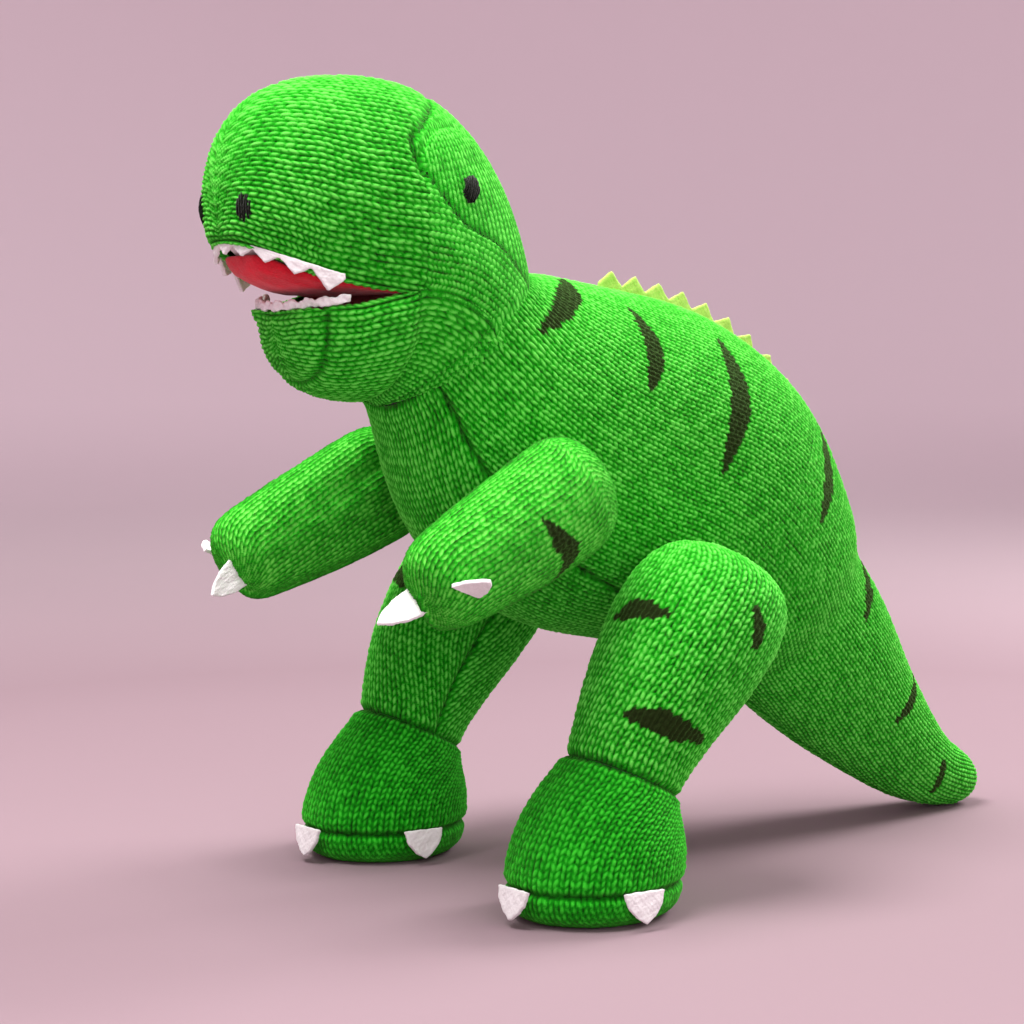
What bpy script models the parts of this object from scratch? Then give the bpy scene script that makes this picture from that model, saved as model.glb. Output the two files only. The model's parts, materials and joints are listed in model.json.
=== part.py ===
"""Knitted stuffed dinosaur, standing on its two hind feet and the tip of its tail.

Every skin is an open sheet of knit given a thickness, with its stuffing as a closed
solid inside.  The toy faces -Y, its left side is +X, and the origin is at the bottom
centre of its bounding box.  Lengths in the tables are millimetres; MM turns them into
metres.  Tables are in the foot frame, whose origin is midway between the two feet.
"""

import math

import bmesh
import bpy
import numpy as np
from mathutils import Matrix, Vector
from mathutils.bvhtree import BVHTree

MM = 0.001

# ---------------------------------------------------------------- driving dimensions
OVERALL_CENTRE_Y = 67.15     # foot frame to the middle of the toy's length
KNIT = 2.0                   # thickness of the knitted skin
FELT = 1.4                   # thickness of the felt trim
STUFFING_INSET = 5.4         # from the outside of a skin to the stuffing in it
SEAM_GAP = 0.35              # clearance left between two pieces sewn together
FLANK_X = 41.4               # the flat sides of the body, where the limbs are sewn
LIMB_X = 41.9                # the flat inner sides of the limbs
BACK_SEAM_X = 1.15           # half the slot in the back seam that holds the spikes

NECK = (0.0, -15.0, 184.0)   # centre of the neck seam
NECK_TILT = 48.5             # the neck seam leans back by this many degrees
JAW = (0.0, -48.0, 197.0)    # corner of the mouth, where the jaw turns
SHOULDER = (52.0, -4.0, 134.0)
HIP = (60.0, 42.0, 90.0)
TAIL_ROOT = (0.0, 130.0, 88.0)

# Body and tail: centre y, centre z, lean of the section, half width, half height.
NECK_SECTION = (-15.0, 184.0, NECK_TILT, 35.0, 33.0)
BODY_SECTIONS = [
    NECK_SECTION,
    (-1.0, 168.0, 44.0, 40.0, 48.0),
    (21.0, 151.5, 40.0, 43.5, 62.0),
    (52.0, 138.5, 36.0, 45.0, 66.5),
    (84.0, 128.0, 36.0, 44.5, 61.0),
    (110.0, 113.0, 40.0, 40.0, 52.5),
    (130.0, 88.0, 44.0, 34.0, 42.0),
]
TAIL_SECTIONS = [
    (124.0, 94.0, 44.0, 26.0, 33.0),
    (130.0, 88.0, 44.0, 29.5, 37.0),
    (137.0, 81.0, 45.0, 29.0, 36.5),
    (152.0, 66.5, 47.0, 27.5, 34.0),
    (171.0, 46.5, 47.0, 23.0, 27.0),
    (191.0, 28.5, 42.0, 18.0, 20.5),
    (209.0, 16.2, 28.0, 14.5, 15.0),
    (225.0, 10.8, 8.0, 11.8, 11.8),
    (234.0, 9.6, 2.0, 8.0, 8.0),
]
TAIL_TIP = (0.0, 238.5, 9.4)
STUFFING_END = (118.0, 103.0, 41.0, 38.0, 48.0)
CHEST_EDGE = [40.0, 40.0, 38.0, 34.0, 30.0, 26.0, 22.0]   # seam angle, per section

# Head: y, top, bottom, half width.  The neck and the mouth are cut out afterwards.
HEAD_SECTIONS = [
    (-101.0, 243.0, 207.0, 13.0),
    (-95.0, 254.0, 200.0, 19.0),
    (-84.0, 261.5, 193.0, 25.5),
    (-67.0, 266.0, 184.0, 31.0),
    (-48.0, 267.0, 166.0, 35.0),
    (-30.0, 264.0, 148.0, 36.5),
    (-13.0, 252.0, 136.0, 35.5),
    (-3.0, 236.0, 132.0, 31.5),
    (4.0, 214.0, 140.0, 24.0),
]
SNOUT_TIP = (0.0, -103.5, 226.0)
NAPE_END = (0.0, 7.5, 184.0)
LIP_LINE = [(-48.0, 197.2), (-62.0, 199.4), (-78.0, 203.2), (-90.0, 207.6), (-104.0, 214.0)]
GUSSET_OUTLINE = [(-37.0, 290.0), (-43.0, 240.0), (6.0, 190.0), (60.0, 190.0), (60.0, 290.0)]

# Jaw: y, height of the lower lip, depth below it, half width.
JAW_SECTIONS = [
    (-48.6, 195.8, 33.5, 33.0),
    (-56.0, 194.0, 31.5, 32.0),
    (-66.0, 191.5, 27.5, 28.0),
    (-75.0, 189.3, 20.5, 21.0),
    (-80.5, 188.3, 12.0, 13.0),
]
JAW_TIP = (0.0, -83.0, 187.5)
JAW_FILLING_END = (0.0, -47.0, 182.0)
JAW_CROWN = 2.0              # rise of the jaw filling between its two lips
PALATE_PLACES = (-50.5, -58.0, -68.0, -78.0, -87.0, -93.5)
PALATE_INSET = 3.8           # from the lip to the edge of the padded roof of the mouth
PALATE_BULGE = 7.0           # how far the roof hangs down
PALATE_SHARE = 0.45          # and how much of the gape it may fill further back
MOUTH_FLOOR_INSET = 4.6
MOUTH_FLOOR_DROP = 0.3
MOUTH_FLOOR_SAG = 0.6
MOUTH_BEHIND_LIPS = [(-130.0, 222.0), (-130.0, 130.0), (-44.6, 130.0), (-44.9, 160.0)]
CUTTER_REACH = 160.0
CUTTER_HALF_WIDTH = 60.0

# Limbs: centre x, y, z, lean of the section, half width, half length.
ARM_LEAN = -25.0
ARM_SECTIONS = [
    (51.0, 4.0, 137.8, ARM_LEAN, 12.0, 13.5),
    (51.5, -0.5, 135.7, ARM_LEAN, 17.0, 19.0),
    (52.0, -8.0, 132.5, ARM_LEAN, 18.5, 21.0),
    (54.5, -32.0, 121.0, ARM_LEAN, 17.5, 18.5),
    (57.0, -55.0, 111.0, ARM_LEAN, 16.0, 16.5),
    (57.5, -63.0, 107.5, ARM_LEAN, 13.5, 14.5),
    (57.5, -66.0, 106.2, ARM_LEAN, 8.0, 9.0),
]
SHOULDER_END = (51.0, 7.0, 139.0)
HAND_END = (57.5, -67.0, 105.8)
LEG_LEAN = 122.5
ANKLE_SECTION = (59.5, 10.5, 43.5, 116.0, 19.0, 19.0)
LEG_SECTIONS = [
    (61.5, 55.0, 108.5, LEG_LEAN, 17.0, 18.5),
    (61.5, 50.5, 103.0, LEG_LEAN, 23.5, 25.5),
    (61.5, 43.0, 94.0, LEG_LEAN, 26.5, 29.0),
    (61.5, 32.0, 80.0, LEG_LEAN, 26.0, 28.0),
    (61.0, 20.0, 64.0, 120.0, 23.0, 24.0),
    (60.0, 12.5, 50.0, 118.0, 20.0, 20.0),
    ANKLE_SECTION,
]
THIGH_TOP = (61.5, 57.5, 112.0)
FOOT_SECTIONS = [
    (59.5, 9.9, 42.6, 116.0, 19.1, 19.3),
    (59.5, 7.0, 37.5, 110.0, 21.5, 22.5),
    (59.5, 2.5, 29.0, 100.0, 24.5, 27.5),
    (59.5, 0.0, 20.0, 92.0, 26.5, 30.5),
    (59.5, -1.0, 11.5, 90.0, 26.5, 30.5),
]
SOLE_SECTIONS = [
    (59.5, -1.0, 10.9, 90.0, 26.3, 30.3),
    (59.5, -1.0, 5.5, 90.0, 25.8, 29.8),
    (59.5, -1.0, -0.8, 90.0, 22.0, 26.0),
]
SOLE_MIDDLE = (59.5, -1.0, -0.8)
FLOOR_CUT = (80.0, 90.0, 20.0)  # what is taken off under the sole, so that it stands flat

SPIKE_COUNT = 10
SPIKE_HEIGHT = 6.0
SPIKE_SPAN = (1.55, 5.1)     # along the body sections, from behind the neck to the rump

# Felt teeth: count, length, the turn around the lip to either end, and the lip's plan
# as its front y, back y and half width.  They hang clear of the sloping lip.
UPPER_TEETH = (9, 8.0, 66.0, (-99.0, -56.0, 29.0))
LOWER_TEETH = (10, 3.4, 62.0, (-80.5, -57.0, 25.5))
TOOTH_BAND = 2.0
TEETH_GAP = 1.1

# Stitched eyes and nostrils: (y, z) and (x, z) where they sit, and half sizes.
EYE = (-30.0, 229.5)
EYE_HALF_SIZES = (3.2, 4.4, 0.8)
EYE_TURN = -25.0
NOSTRIL = (12.5, 223.0)
NOSTRIL_HALF_SIZES = (2.6, 4.2, 0.7)
BUTTON_LIFT = 0.45

# Felt claws.  On a hand: the way out of the hand's middle to each root, the reach of
# its tip from there, and the direction across it.
HAND_MIDDLE = (57.0, -57.0, 109.0)
HAND_CLAWS = {
    "inner": ((-0.30, -0.80, -0.52), (-4.5, -14.0, -7.5), (0.75, 0.1, -0.65)),
    "outer": ((0.97, -0.24, -0.05), (11.0, 1.5, 4.0), (0.0, 1.0, -0.4)),
}
HAND_CLAW_GAP = 1.2
HAND_CLAW_WIDTH = 11.0
TOE_TURNS = {"inner": -85.0, "middle": 0.0, "outer": 85.0}
FOOT_CENTRE = (59.5, -1.0)
FOOT_HALF_WIDTH = 26.6
FOOT_HALF_LENGTH = 30.6
TOE_CLAW_GAP = 1.3
TOE_CLAW_HEIGHT = 12.5
TOE_CLAW_LENGTH = 10.0
TOE_CLAW_WIDTH = 15.0
SIDES = {"left": 1, "right": -1}

STUFFING_ANGLES = [30.0 * i for i in range(12)]

GREEN = (0.045, 0.42, 0.030)
PALE_GREEN = (0.10, 0.50, 0.06)
DEEP_GREEN = (0.012, 0.23, 0.010)
LIME = (0.56, 0.83, 0.16)
WHITE = (0.86, 0.86, 0.84)
RED = (0.74, 0.02, 0.05)
DARK_RED = (0.20, 0.004, 0.006)
BLACK = (0.003, 0.006, 0.003)
FIBREFILL = (0.80, 0.80, 0.78)

KNIT_ROUGHNESS = 0.9
FELT_ROUGHNESS = 0.95


# ---------------------------------------------------------------- scene and materials
for old in list(bpy.data.objects):
    bpy.data.objects.remove(old, do_unlink=True)

parts = bpy.data.collections.new("stuffed_dinosaur")
guides = bpy.data.collections.new("cutters")
for collection in (parts, guides):
    bpy.context.scene.collection.children.link(collection)


def empty(name, position, parent=None):
    """An empty at a place in the foot frame, for a body to turn about."""
    pivot = bpy.data.objects.new(name, None)
    pivot.empty_display_size = 0.02
    parts.objects.link(pivot)
    pivot.parent = parent
    origin = parent["foot_frame"] if parent else (0.0, 0.0, 0.0)
    pivot["foot_frame"] = position
    pivot.location = (Vector(position) - Vector(origin)) * MM
    return pivot


toy = empty("toy", (0.0, 0.0, 0.0))
toy.location.y = -OVERALL_CENTRE_Y * MM
torso_body = empty("torso_body", (0.0, 51.0, 137.0), toy)
head_body = empty("head_body", NECK, torso_body)
jaw_body = empty("jaw_body", JAW, head_body)
tail_body = empty("tail_body", TAIL_ROOT, torso_body)
arm_bodies = {}
leg_bodies = {}
for side_name, side_sign in SIDES.items():
    shoulder = (side_sign * SHOULDER[0], *SHOULDER[1:])
    hip = (side_sign * HIP[0], *HIP[1:])
    arm_bodies[side_name] = empty(f"{side_name}_arm_body", shoulder, torso_body)
    leg_bodies[side_name] = empty(f"{side_name}_leg_body", hip, torso_body)


def add_material(target, colour, roughness):
    """Give an object a Principled material of its own."""
    material = bpy.data.materials.new(target.name + "_material")
    material.use_nodes = True
    shader = material.node_tree.nodes["Principled BSDF"]
    shader.inputs["Base Color"].default_value = (*colour, 1.0)
    shader.inputs["Roughness"].default_value = roughness
    shader.inputs["Metallic"].default_value = 0.0
    target.data.materials.append(material)


def mesh_about(name, work, origin):
    """A mesh in metres about an origin, from a bmesh in the foot frame (mm)."""
    to_metres = Matrix.Scale(MM, 4) @ Matrix.Translation(-origin)
    bmesh.ops.transform(work, matrix=to_metres, verts=work.verts)
    mesh = bpy.data.meshes.new(name)
    work.to_mesh(mesh)
    work.free()
    return mesh


def add_part(name, work, body, colour, roughness=KNIT_ROUGHNESS):
    """Turn a bmesh in the foot frame (mm) into a part that hangs from a body's empty."""
    mesh = mesh_about(name, work, Vector(body["foot_frame"]))
    mesh.shade_smooth()
    part = bpy.data.objects.new(name, mesh)
    parts.objects.link(part)
    part.parent = body
    add_material(part, colour, roughness)
    return part


# ---------------------------------------------------------------- modifiers
def subdivide(part, levels=1):
    modifier = part.modifiers.new("soft", "SUBSURF")
    modifier.levels = levels
    modifier.render_levels = levels
    modifier.boundary_smooth = "PRESERVE_CORNERS"
    return part


def thicken(part, thickness):
    """Give an open sheet its thickness, inwards."""
    modifier = part.modifiers.new("thickness", "SOLIDIFY")
    modifier.thickness = thickness * MM
    modifier.offset = -1.0
    return part


def cut(part, cutter, operation="DIFFERENCE"):
    modifier = part.modifiers.new("cut", "BOOLEAN")
    modifier.operation = operation
    modifier.object = cutter
    return part


# ---------------------------------------------------------------- building forms
def even_angles(count):
    return [360.0 * i / count for i in range(count)]


def section(centre, lean, half_width, up, down, angles, side=1, inner_x=None, outer_x=None,
            soft=True):
    """Points of one cross-section; angle 0 is its top and 90 is the side at +X.

    The points of a soft row, to be subdivided, stand out by what subdivision draws them
    in.  The two ends of an open row, which it leaves alone, do not.
    """
    step = math.radians(abs(angles[1] - angles[0]))
    is_open = abs(angles[-1] - angles[0]) + math.degrees(step) < 359.0
    lean = math.radians(lean)
    points = []
    for i, angle in enumerate(map(math.radians, angles)):
        at_end = is_open and i in (0, len(angles) - 1)
        swell = 6.0 / (4.0 + 2.0 * math.cos(step)) if soft and not at_end else 1.0
        x = centre[0] + half_width * swell * math.sin(angle)
        rise = (up if math.cos(angle) > 0.0 else down) * swell * math.cos(angle)
        if inner_x is not None:
            x = max(x, inner_x)
        if outer_x is not None:
            x = max(-outer_x, min(outer_x, x))
        y = centre[1] + rise * math.sin(lean)
        points.append((side * x, y, centre[2] + rise * math.cos(lean)))
    return points


def skin_over(rows, closed=True, first_pole=None, last_pole=None, cap_first=False,
              cap_last=False, inside=None):
    """A bmesh surface through rows of points, closed around and at its ends as asked.

    Its faces point away from the middle of the rows, or from a point given as inside.
    """
    work = bmesh.new()
    grid = [[work.verts.new(point) for point in row] for row in rows]
    count = len(rows[0])
    spans = [(i, (i + 1) % count) for i in range(count if closed else count - 1)]
    for lower, upper in zip(grid, grid[1:]):
        for i, j in spans:
            work.faces.new((lower[i], lower[j], upper[j], upper[i]))
    for pole, ring, order in ((first_pole, grid[0], -1), (last_pole, grid[-1], 1)):
        if pole is not None:
            apex = work.verts.new(pole)
            for i, j in spans:
                work.faces.new((ring[i], ring[j], apex)[::order])
    crease = work.edges.layers.float.new("crease_edge")
    for wanted, ring, order in ((cap_first, grid[0], 1), (cap_last, grid[-1], -1)):
        if wanted:
            cap = work.faces.new(ring[::-order])
            for edge in cap.edges:
                edge[crease] = 1.0

    middles = [sum((Vector(point) for point in row), Vector()) / count for row in rows]
    outward = 0.0
    work.normal_update()
    for face in work.faces:
        centre = face.calc_center_median()
        middle = inside or min(middles, key=lambda place: (place - centre).length)
        outward += face.calc_area() * face.normal.dot(centre - middle)
    if outward < 0.0:
        bmesh.ops.reverse_faces(work, faces=work.faces)
    return work


def add_stuffing(name, work, body):
    """A closed filling, drawn in from the outside of its skin."""
    stuffing = add_part(name, work, body, FIBREFILL)
    modifier = stuffing.modifiers.new("inset", "DISPLACE")
    modifier.strength = -STUFFING_INSET * MM
    modifier.mid_level = 0.0
    return stuffing


def spline_point(points, t):
    """The point at t on the cubic B-spline that a subdivided edge settles on."""
    padded = [2 * points[0] - points[1], *points, 2 * points[-1] - points[-2]]
    start = min(int(t), len(points) - 2)
    u = t - start
    weights = ((1 - u) ** 3, 3 * u**3 - 6 * u**2 + 4, -3 * u**3 + 3 * u**2 + 3 * u + 1, u**3)
    total = Vector((0.0, 0.0, 0.0))
    for weight, point in zip(weights, padded[start:start + 4]):
        total += point * (weight / 6.0)
    return total


def box_cutter(name, size, centre, lean, body):
    """A hidden box, leaning back about X, for a Boolean to cut with."""
    bpy.ops.mesh.primitive_cube_add(size=1.0)
    cutter = bpy.context.active_object
    cutter.name = name
    cutter.data.transform(Matrix.Diagonal((*[length * MM for length in size], 1.0)))
    return hide_cutter(cutter, centre, lean, body)


def hide_cutter(cutter, centre, lean, body):
    for collection in list(cutter.users_collection):
        collection.objects.unlink(cutter)
    guides.objects.link(cutter)
    cutter.parent = body
    cutter.location = (Vector(centre) - Vector(body["foot_frame"])) * MM
    cutter.rotation_euler.x = math.radians(lean)
    cutter.hide_render = True
    cutter.display_type = "WIRE"
    return cutter


def prism_cutter(name, outline, body):
    """A hidden prism along X through an outline of (y, z) points."""
    work = bmesh.new()
    rings = [[work.verts.new((x, y, z)) for y, z in outline]
             for x in (-CUTTER_HALF_WIDTH, CUTTER_HALF_WIDTH)]
    work.faces.new(rings[0])
    work.faces.new(reversed(rings[1]))
    for i in range(len(outline)):
        j = (i + 1) % len(outline)
        work.faces.new((rings[0][j], rings[0][i], rings[1][i], rings[1][j]))
    bmesh.ops.recalc_face_normals(work, faces=work.faces)
    origin = Vector(body["foot_frame"])
    cutter = bpy.data.objects.new(name, mesh_about(name, work, origin))
    guides.objects.link(cutter)
    return hide_cutter(cutter, origin, 0.0, body)


def zigzag(top_line, bottom_line):
    """A sheet between two lines of points, for a felt strip."""
    work = bmesh.new()
    rows = [[work.verts.new(point) for point in line] for line in (top_line, bottom_line)]
    for i in range(len(top_line) - 1):
        work.faces.new((rows[0][i], rows[1][i], rows[1][i + 1], rows[0][i + 1]))
    return work


# ---------------------------------------------------------------- body
def body_row(entry, angles, soft=True):
    y, z, lean, half_width, half_height = entry
    centre = (0.0, y, z)
    return section(centre, lean, half_width, half_height, half_height, angles,
                   outer_x=FLANK_X, soft=soft)


def seam_shift(entry, gap):
    """Degrees around a section that a gap takes up at its edge."""
    return math.degrees(gap / entry[3])


def make_body():
    neck_shift = Vector((0.0, math.cos(math.radians(NECK_TILT)), -math.sin(math.radians(NECK_TILT))))
    first = list(BODY_SECTIONS[0])
    first[0] += neck_shift.y * SEAM_GAP
    first[1] += neck_shift.z * SEAM_GAP
    entries = [tuple(first), *BODY_SECTIONS[1:]]

    chest_rows = []
    flank_rows = []
    for entry, edge in zip(entries, CHEST_EDGE):
        gap = seam_shift(entry, SEAM_GAP)
        chest_angles = np.linspace(180.0 + edge - gap, 180.0 - edge + gap, 5)
        chest_rows.append(body_row(entry, chest_angles))
        slot = seam_shift(entry, BACK_SEAM_X)
        flank_rows.append(body_row(entry, np.linspace(slot, 180.0 - edge - gap, 8)))
    chest = add_part("chest_panel", skin_over(chest_rows, closed=False), torso_body, GREEN)
    thicken(subdivide(chest), KNIT)
    for name, sign in SIDES.items():
        rows = [[(sign * x, y, z) for x, y, z in row] for row in flank_rows]
        flank = add_part(f"{name}_flank", skin_over(rows, closed=False), torso_body, GREEN)
        thicken(subdivide(flank), KNIT)

    rows = [body_row(entry, STUFFING_ANGLES, soft=False) for entry in [*entries[:-1], STUFFING_END]]
    add_stuffing("torso_stuffing", skin_over(rows, cap_first=True, cap_last=True), torso_body)


def make_spikes():
    """The lime felt strip in the back seam: a row of points over a sewn-in edge."""
    ridge = [Vector(body_row(entry, [0.0, 20.0])[0]) for entry in BODY_SECTIONS]
    first, last = SPIKE_SPAN
    points_per_spike = 2
    count = SPIKE_COUNT * points_per_spike + 1
    tips = []
    roots = []
    for i in range(count):
        t = first + (last - first) * i / (count - 1)
        here = spline_point(ridge, t)
        along = (spline_point(ridge, t + 0.05) - spline_point(ridge, t - 0.05)).normalized()
        out = Vector((0.0, -along.z, along.y))
        height = SPIKE_HEIGHT if i % points_per_spike else 1.2
        tips.append(here + out * height)
        roots.append(here - out * 1.0)
    strip = add_part("back_spikes", zigzag(tips, roots), torso_body, LIME, FELT_ROUGHNESS)
    modifier = thicken(strip, FELT).modifiers["thickness"]
    modifier.offset = 0.0
    strip.data.shade_flat()


def make_tail():
    rows = [body_row(entry, even_angles(10)) for entry in TAIL_SECTIONS]
    skin = add_part("tail_skin", skin_over(rows, last_pole=TAIL_TIP), tail_body, GREEN)
    thicken(subdivide(skin), KNIT)
    rows = [body_row(entry, STUFFING_ANGLES, soft=False) for entry in TAIL_SECTIONS]
    add_stuffing("tail_stuffing", skin_over(rows, cap_first=True, last_pole=TAIL_TIP), tail_body)


# ---------------------------------------------------------------- head and jaw
def head_row(entry, angles, soft=True):
    y, top, bottom, half_width = entry
    half_height = (top - bottom) / 2.0
    centre = (0.0, y, bottom + half_height)
    return section(centre, 0.0, half_width, half_height, half_height, angles, soft=soft)


def lip_height(y):
    """Height of the upper lip at a place along the mouth."""
    places, heights = zip(*reversed(LIP_LINE))
    return float(np.interp(y, places, heights))


def make_head():
    lean = 90.0 - NECK_TILT
    up = Vector((0.0, -math.sin(math.radians(lean)), math.cos(math.radians(lean))))
    below_neck = Vector(NECK) + up * (SEAM_GAP - CUTTER_REACH / 2.0)
    neck_cutter = box_cutter("neck_cutter", (CUTTER_REACH,) * 3, below_neck, lean, head_body)
    mouth_cutter = prism_cutter("mouth_cutter", [*LIP_LINE, *MOUTH_BEHIND_LIPS], head_body)
    gusset_cutter = prism_cutter("gusset_cutter", GUSSET_OUTLINE, head_body)
    wider = [(y - (SEAM_GAP if y < 50.0 else 0.0), z - (SEAM_GAP if z < 280.0 else 0.0))
             for y, z in GUSSET_OUTLINE]
    snout_cutter = prism_cutter("snout_cutter", wider, head_body)

    rows = [head_row(entry, even_angles(12)) for entry in HEAD_SECTIONS]
    panels = {
        "snout_skin": (snout_cutter, "DIFFERENCE", GREEN),
        "head_back_skin": (gusset_cutter, "INTERSECT", PALE_GREEN),
    }
    skins = {}
    for name, (cutter, operation, colour) in panels.items():
        work = skin_over(rows, first_pole=SNOUT_TIP, last_pole=NAPE_END)
        skin = add_part(name, work, head_body, colour)
        thicken(subdivide(skin), KNIT)
        cut(skin, neck_cutter)
        cut(skin, mouth_cutter)
        skins[name] = cut(skin, cutter, operation)

    rows = [head_row(entry, STUFFING_ANGLES, soft=False) for entry in HEAD_SECTIONS]
    work = skin_over(rows, first_pole=SNOUT_TIP, last_pole=NAPE_END)
    stuffing = add_stuffing("head_stuffing", work, head_body)
    cut(stuffing, neck_cutter)
    cut(stuffing, mouth_cutter)
    return skins


def lip_half_width(y):
    """Half width of the snout along the upper lip."""
    places = [SNOUT_TIP[1], *[entry[0] for entry in HEAD_SECTIONS]]
    widths = [0.0]
    for entry in HEAD_SECTIONS:
        middle = (entry[1] + entry[2]) / 2.0
        drop = (lip_height(entry[0]) - middle) / ((entry[1] - entry[2]) / 2.0)
        widths.append(entry[3] * math.sqrt(max(0.0, 1.0 - drop * drop)))
    return float(np.interp(y, places, widths))


def make_palate():
    """The padded red roof of the mouth, flat on top and hanging down in the middle."""
    rows = []
    for y in PALATE_PLACES:
        half_width = lip_half_width(y) - PALATE_INSET
        gape = lip_height(y) - jaw_lip_height(y)
        bulge = min(PALATE_BULGE, PALATE_SHARE * gape)
        centre = (0.0, y, lip_height(y) - SEAM_GAP)
        rows.append(section(centre, 0.0, half_width, 0.0, bulge, even_angles(8)))
    end = (0.0, -96.0, lip_height(-96.0) - 1.0)
    work = skin_over(rows[::-1], first_pole=end, cap_last=True)
    subdivide(add_part("palate_lining", work, head_body, RED, FELT_ROUGHNESS))


def tooth_strip(teeth, edge_height, direction):
    """A strip of felt teeth around a lip, up or down from the lip's edge."""
    count, length, end_turn, (front, back, half_width) = teeth
    points_per_tooth = 2
    edge = []
    tips = []
    for i in range(count * points_per_tooth + 1):
        turn = math.radians(end_turn * (2.0 * i / (count * points_per_tooth) - 1.0))
        x = half_width * math.sin(turn)
        y = back + (front - back) * math.cos(turn)
        height = edge_height(y) + direction * TEETH_GAP
        edge.append((x, y, height))
        tips.append((x, y, height + direction * (length if i % points_per_tooth else TOOTH_BAND)))
    return zigzag(edge, tips)


def make_teeth():
    """The two strips of white felt, hanging from the upper lip and standing on the lower."""
    for name, teeth, edge_height, direction, body in (
        ("upper_teeth", UPPER_TEETH, lip_height, -1, head_body),
        ("lower_teeth", LOWER_TEETH, jaw_lip_height, 1, jaw_body),
    ):
        work = tooth_strip(teeth, edge_height, direction)
        strip = thicken(add_part(name, work, body, WHITE, FELT_ROUGHNESS), FELT)
        strip.data.shade_flat()


def jaw_lip_height(y):
    places, heights = zip(*[(entry[0], entry[1]) for entry in reversed(JAW_SECTIONS)])
    return float(np.interp(y, places, heights))


def jaw_rows(angles, drop=0.0, soft=True):
    """Rows of the jaw from its tip back, with the lips at its sides or a drop below them."""
    rows = []
    for y, lip, depth, half_width in JAW_SECTIONS:
        centre = (0.0, y, lip - drop)
        rows.append(section(centre, 0.0, half_width, JAW_CROWN, depth - drop, angles, soft=soft))
    return rows[::-1]


def make_jaw():
    work = skin_over(jaw_rows(np.linspace(90.0, 270.0, 8)), closed=False, first_pole=JAW_TIP)
    skin = add_part("jaw_skin", work, jaw_body, GREEN)
    thicken(subdivide(skin), KNIT)
    rows = jaw_rows(STUFFING_ANGLES, FELT, soft=False)[1:]
    work = skin_over(rows, first_pole=JAW_TIP, last_pole=JAW_FILLING_END)
    add_stuffing("jaw_stuffing", work, jaw_body)

    rows = []
    for y, lip, depth, half_width in JAW_SECTIONS[:4]:
        reach = half_width - MOUTH_FLOOR_INSET
        row = []
        for share in (-1.0, -0.5, 0.0, 0.5, 1.0):
            sag = MOUTH_FLOOR_SAG * (1.0 - share * share)
            row.append((reach * share, y, lip - MOUTH_FLOOR_DROP - sag))
        rows.append(row)
    work = skin_over(rows, closed=False, inside=Vector(JAW_TIP) - Vector((0.0, 0.0, 100.0)))
    floor = add_part("mouth_floor_lining", work, jaw_body, DARK_RED, FELT_ROUGHNESS)
    thicken(subdivide(floor), FELT)


# ---------------------------------------------------------------- limbs
def limb_row(entry, angles, side, soft=True):
    """A section of an arm or a leg, flat where it is sewn to the body."""
    x, y, z, lean, half_width, half_length = entry
    return section((x, y, z), lean, half_width, half_length, half_length, angles, side,
                   LIMB_X, soft=soft)


def foot_row(entry, angles, side, soft=True):
    x, y, z, lean, half_width, half_length = entry
    return section((x, y, z), lean, half_width, half_length, half_length, angles, side, soft=soft)


def make_arm(name, sign):
    body = arm_bodies[name]
    ends = [(sign * x, y, z) for x, y, z in (SHOULDER_END, HAND_END)]
    rows = [limb_row(entry, even_angles(10), sign) for entry in ARM_SECTIONS]
    work = skin_over(rows, first_pole=ends[0], last_pole=ends[1])
    sewn = [face for face in work.faces
            if all(abs(abs(vertex.co.x) - LIMB_X) < 0.01 for vertex in face.verts)]
    bmesh.ops.delete(work, geom=sewn, context="FACES")
    skin = add_part(f"{name}_arm_skin", work, body, PALE_GREEN)
    thicken(subdivide(skin), KNIT)
    rows = [limb_row(entry, STUFFING_ANGLES, sign, soft=False) for entry in ARM_SECTIONS]
    add_stuffing(f"{name}_arm_stuffing", skin_over(rows, first_pole=ends[0], last_pole=ends[1]), body)
    return skin


def make_leg(name, sign):
    body = leg_bodies[name]
    top = (sign * THIGH_TOP[0], *THIGH_TOP[1:])
    middle = (sign * SOLE_MIDDLE[0], *SOLE_MIDDLE[1:])
    rows = [limb_row(entry, even_angles(10), sign) for entry in LEG_SECTIONS]
    skin = add_part(f"{name}_leg_skin", skin_over(rows, first_pole=top), body, GREEN)
    thicken(subdivide(skin), KNIT)
    rows = [foot_row(entry, even_angles(10), sign) for entry in FOOT_SECTIONS]
    foot = add_part(f"{name}_foot_skin", skin_over(rows), body, DEEP_GREEN)
    thicken(subdivide(foot), KNIT)
    rows = [foot_row(entry, even_angles(10), sign) for entry in SOLE_SECTIONS]
    sole = add_part(f"{name}_sole", skin_over(rows, last_pole=middle), body, DEEP_GREEN)
    thicken(subdivide(sole), KNIT)
    below = (middle[0], middle[1], -FLOOR_CUT[2] / 2.0)
    cut(sole, box_cutter(f"{name}_sole_cutter", FLOOR_CUT, below, 0.0, body))
    waist = (*ANKLE_SECTION[:4], ANKLE_SECTION[4] - KNIT, ANKLE_SECTION[5] - KNIT)
    rows = [limb_row(entry, STUFFING_ANGLES, sign, soft=False) for entry in [*LEG_SECTIONS[:-1], waist]]
    foot_entries = [*FOOT_SECTIONS[1:], *SOLE_SECTIONS[1:]]
    rows += [foot_row(entry, STUFFING_ANGLES, sign, soft=False) for entry in foot_entries]
    add_stuffing(f"{name}_leg_stuffing", skin_over(rows, first_pole=top, last_pole=middle), body)


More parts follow.
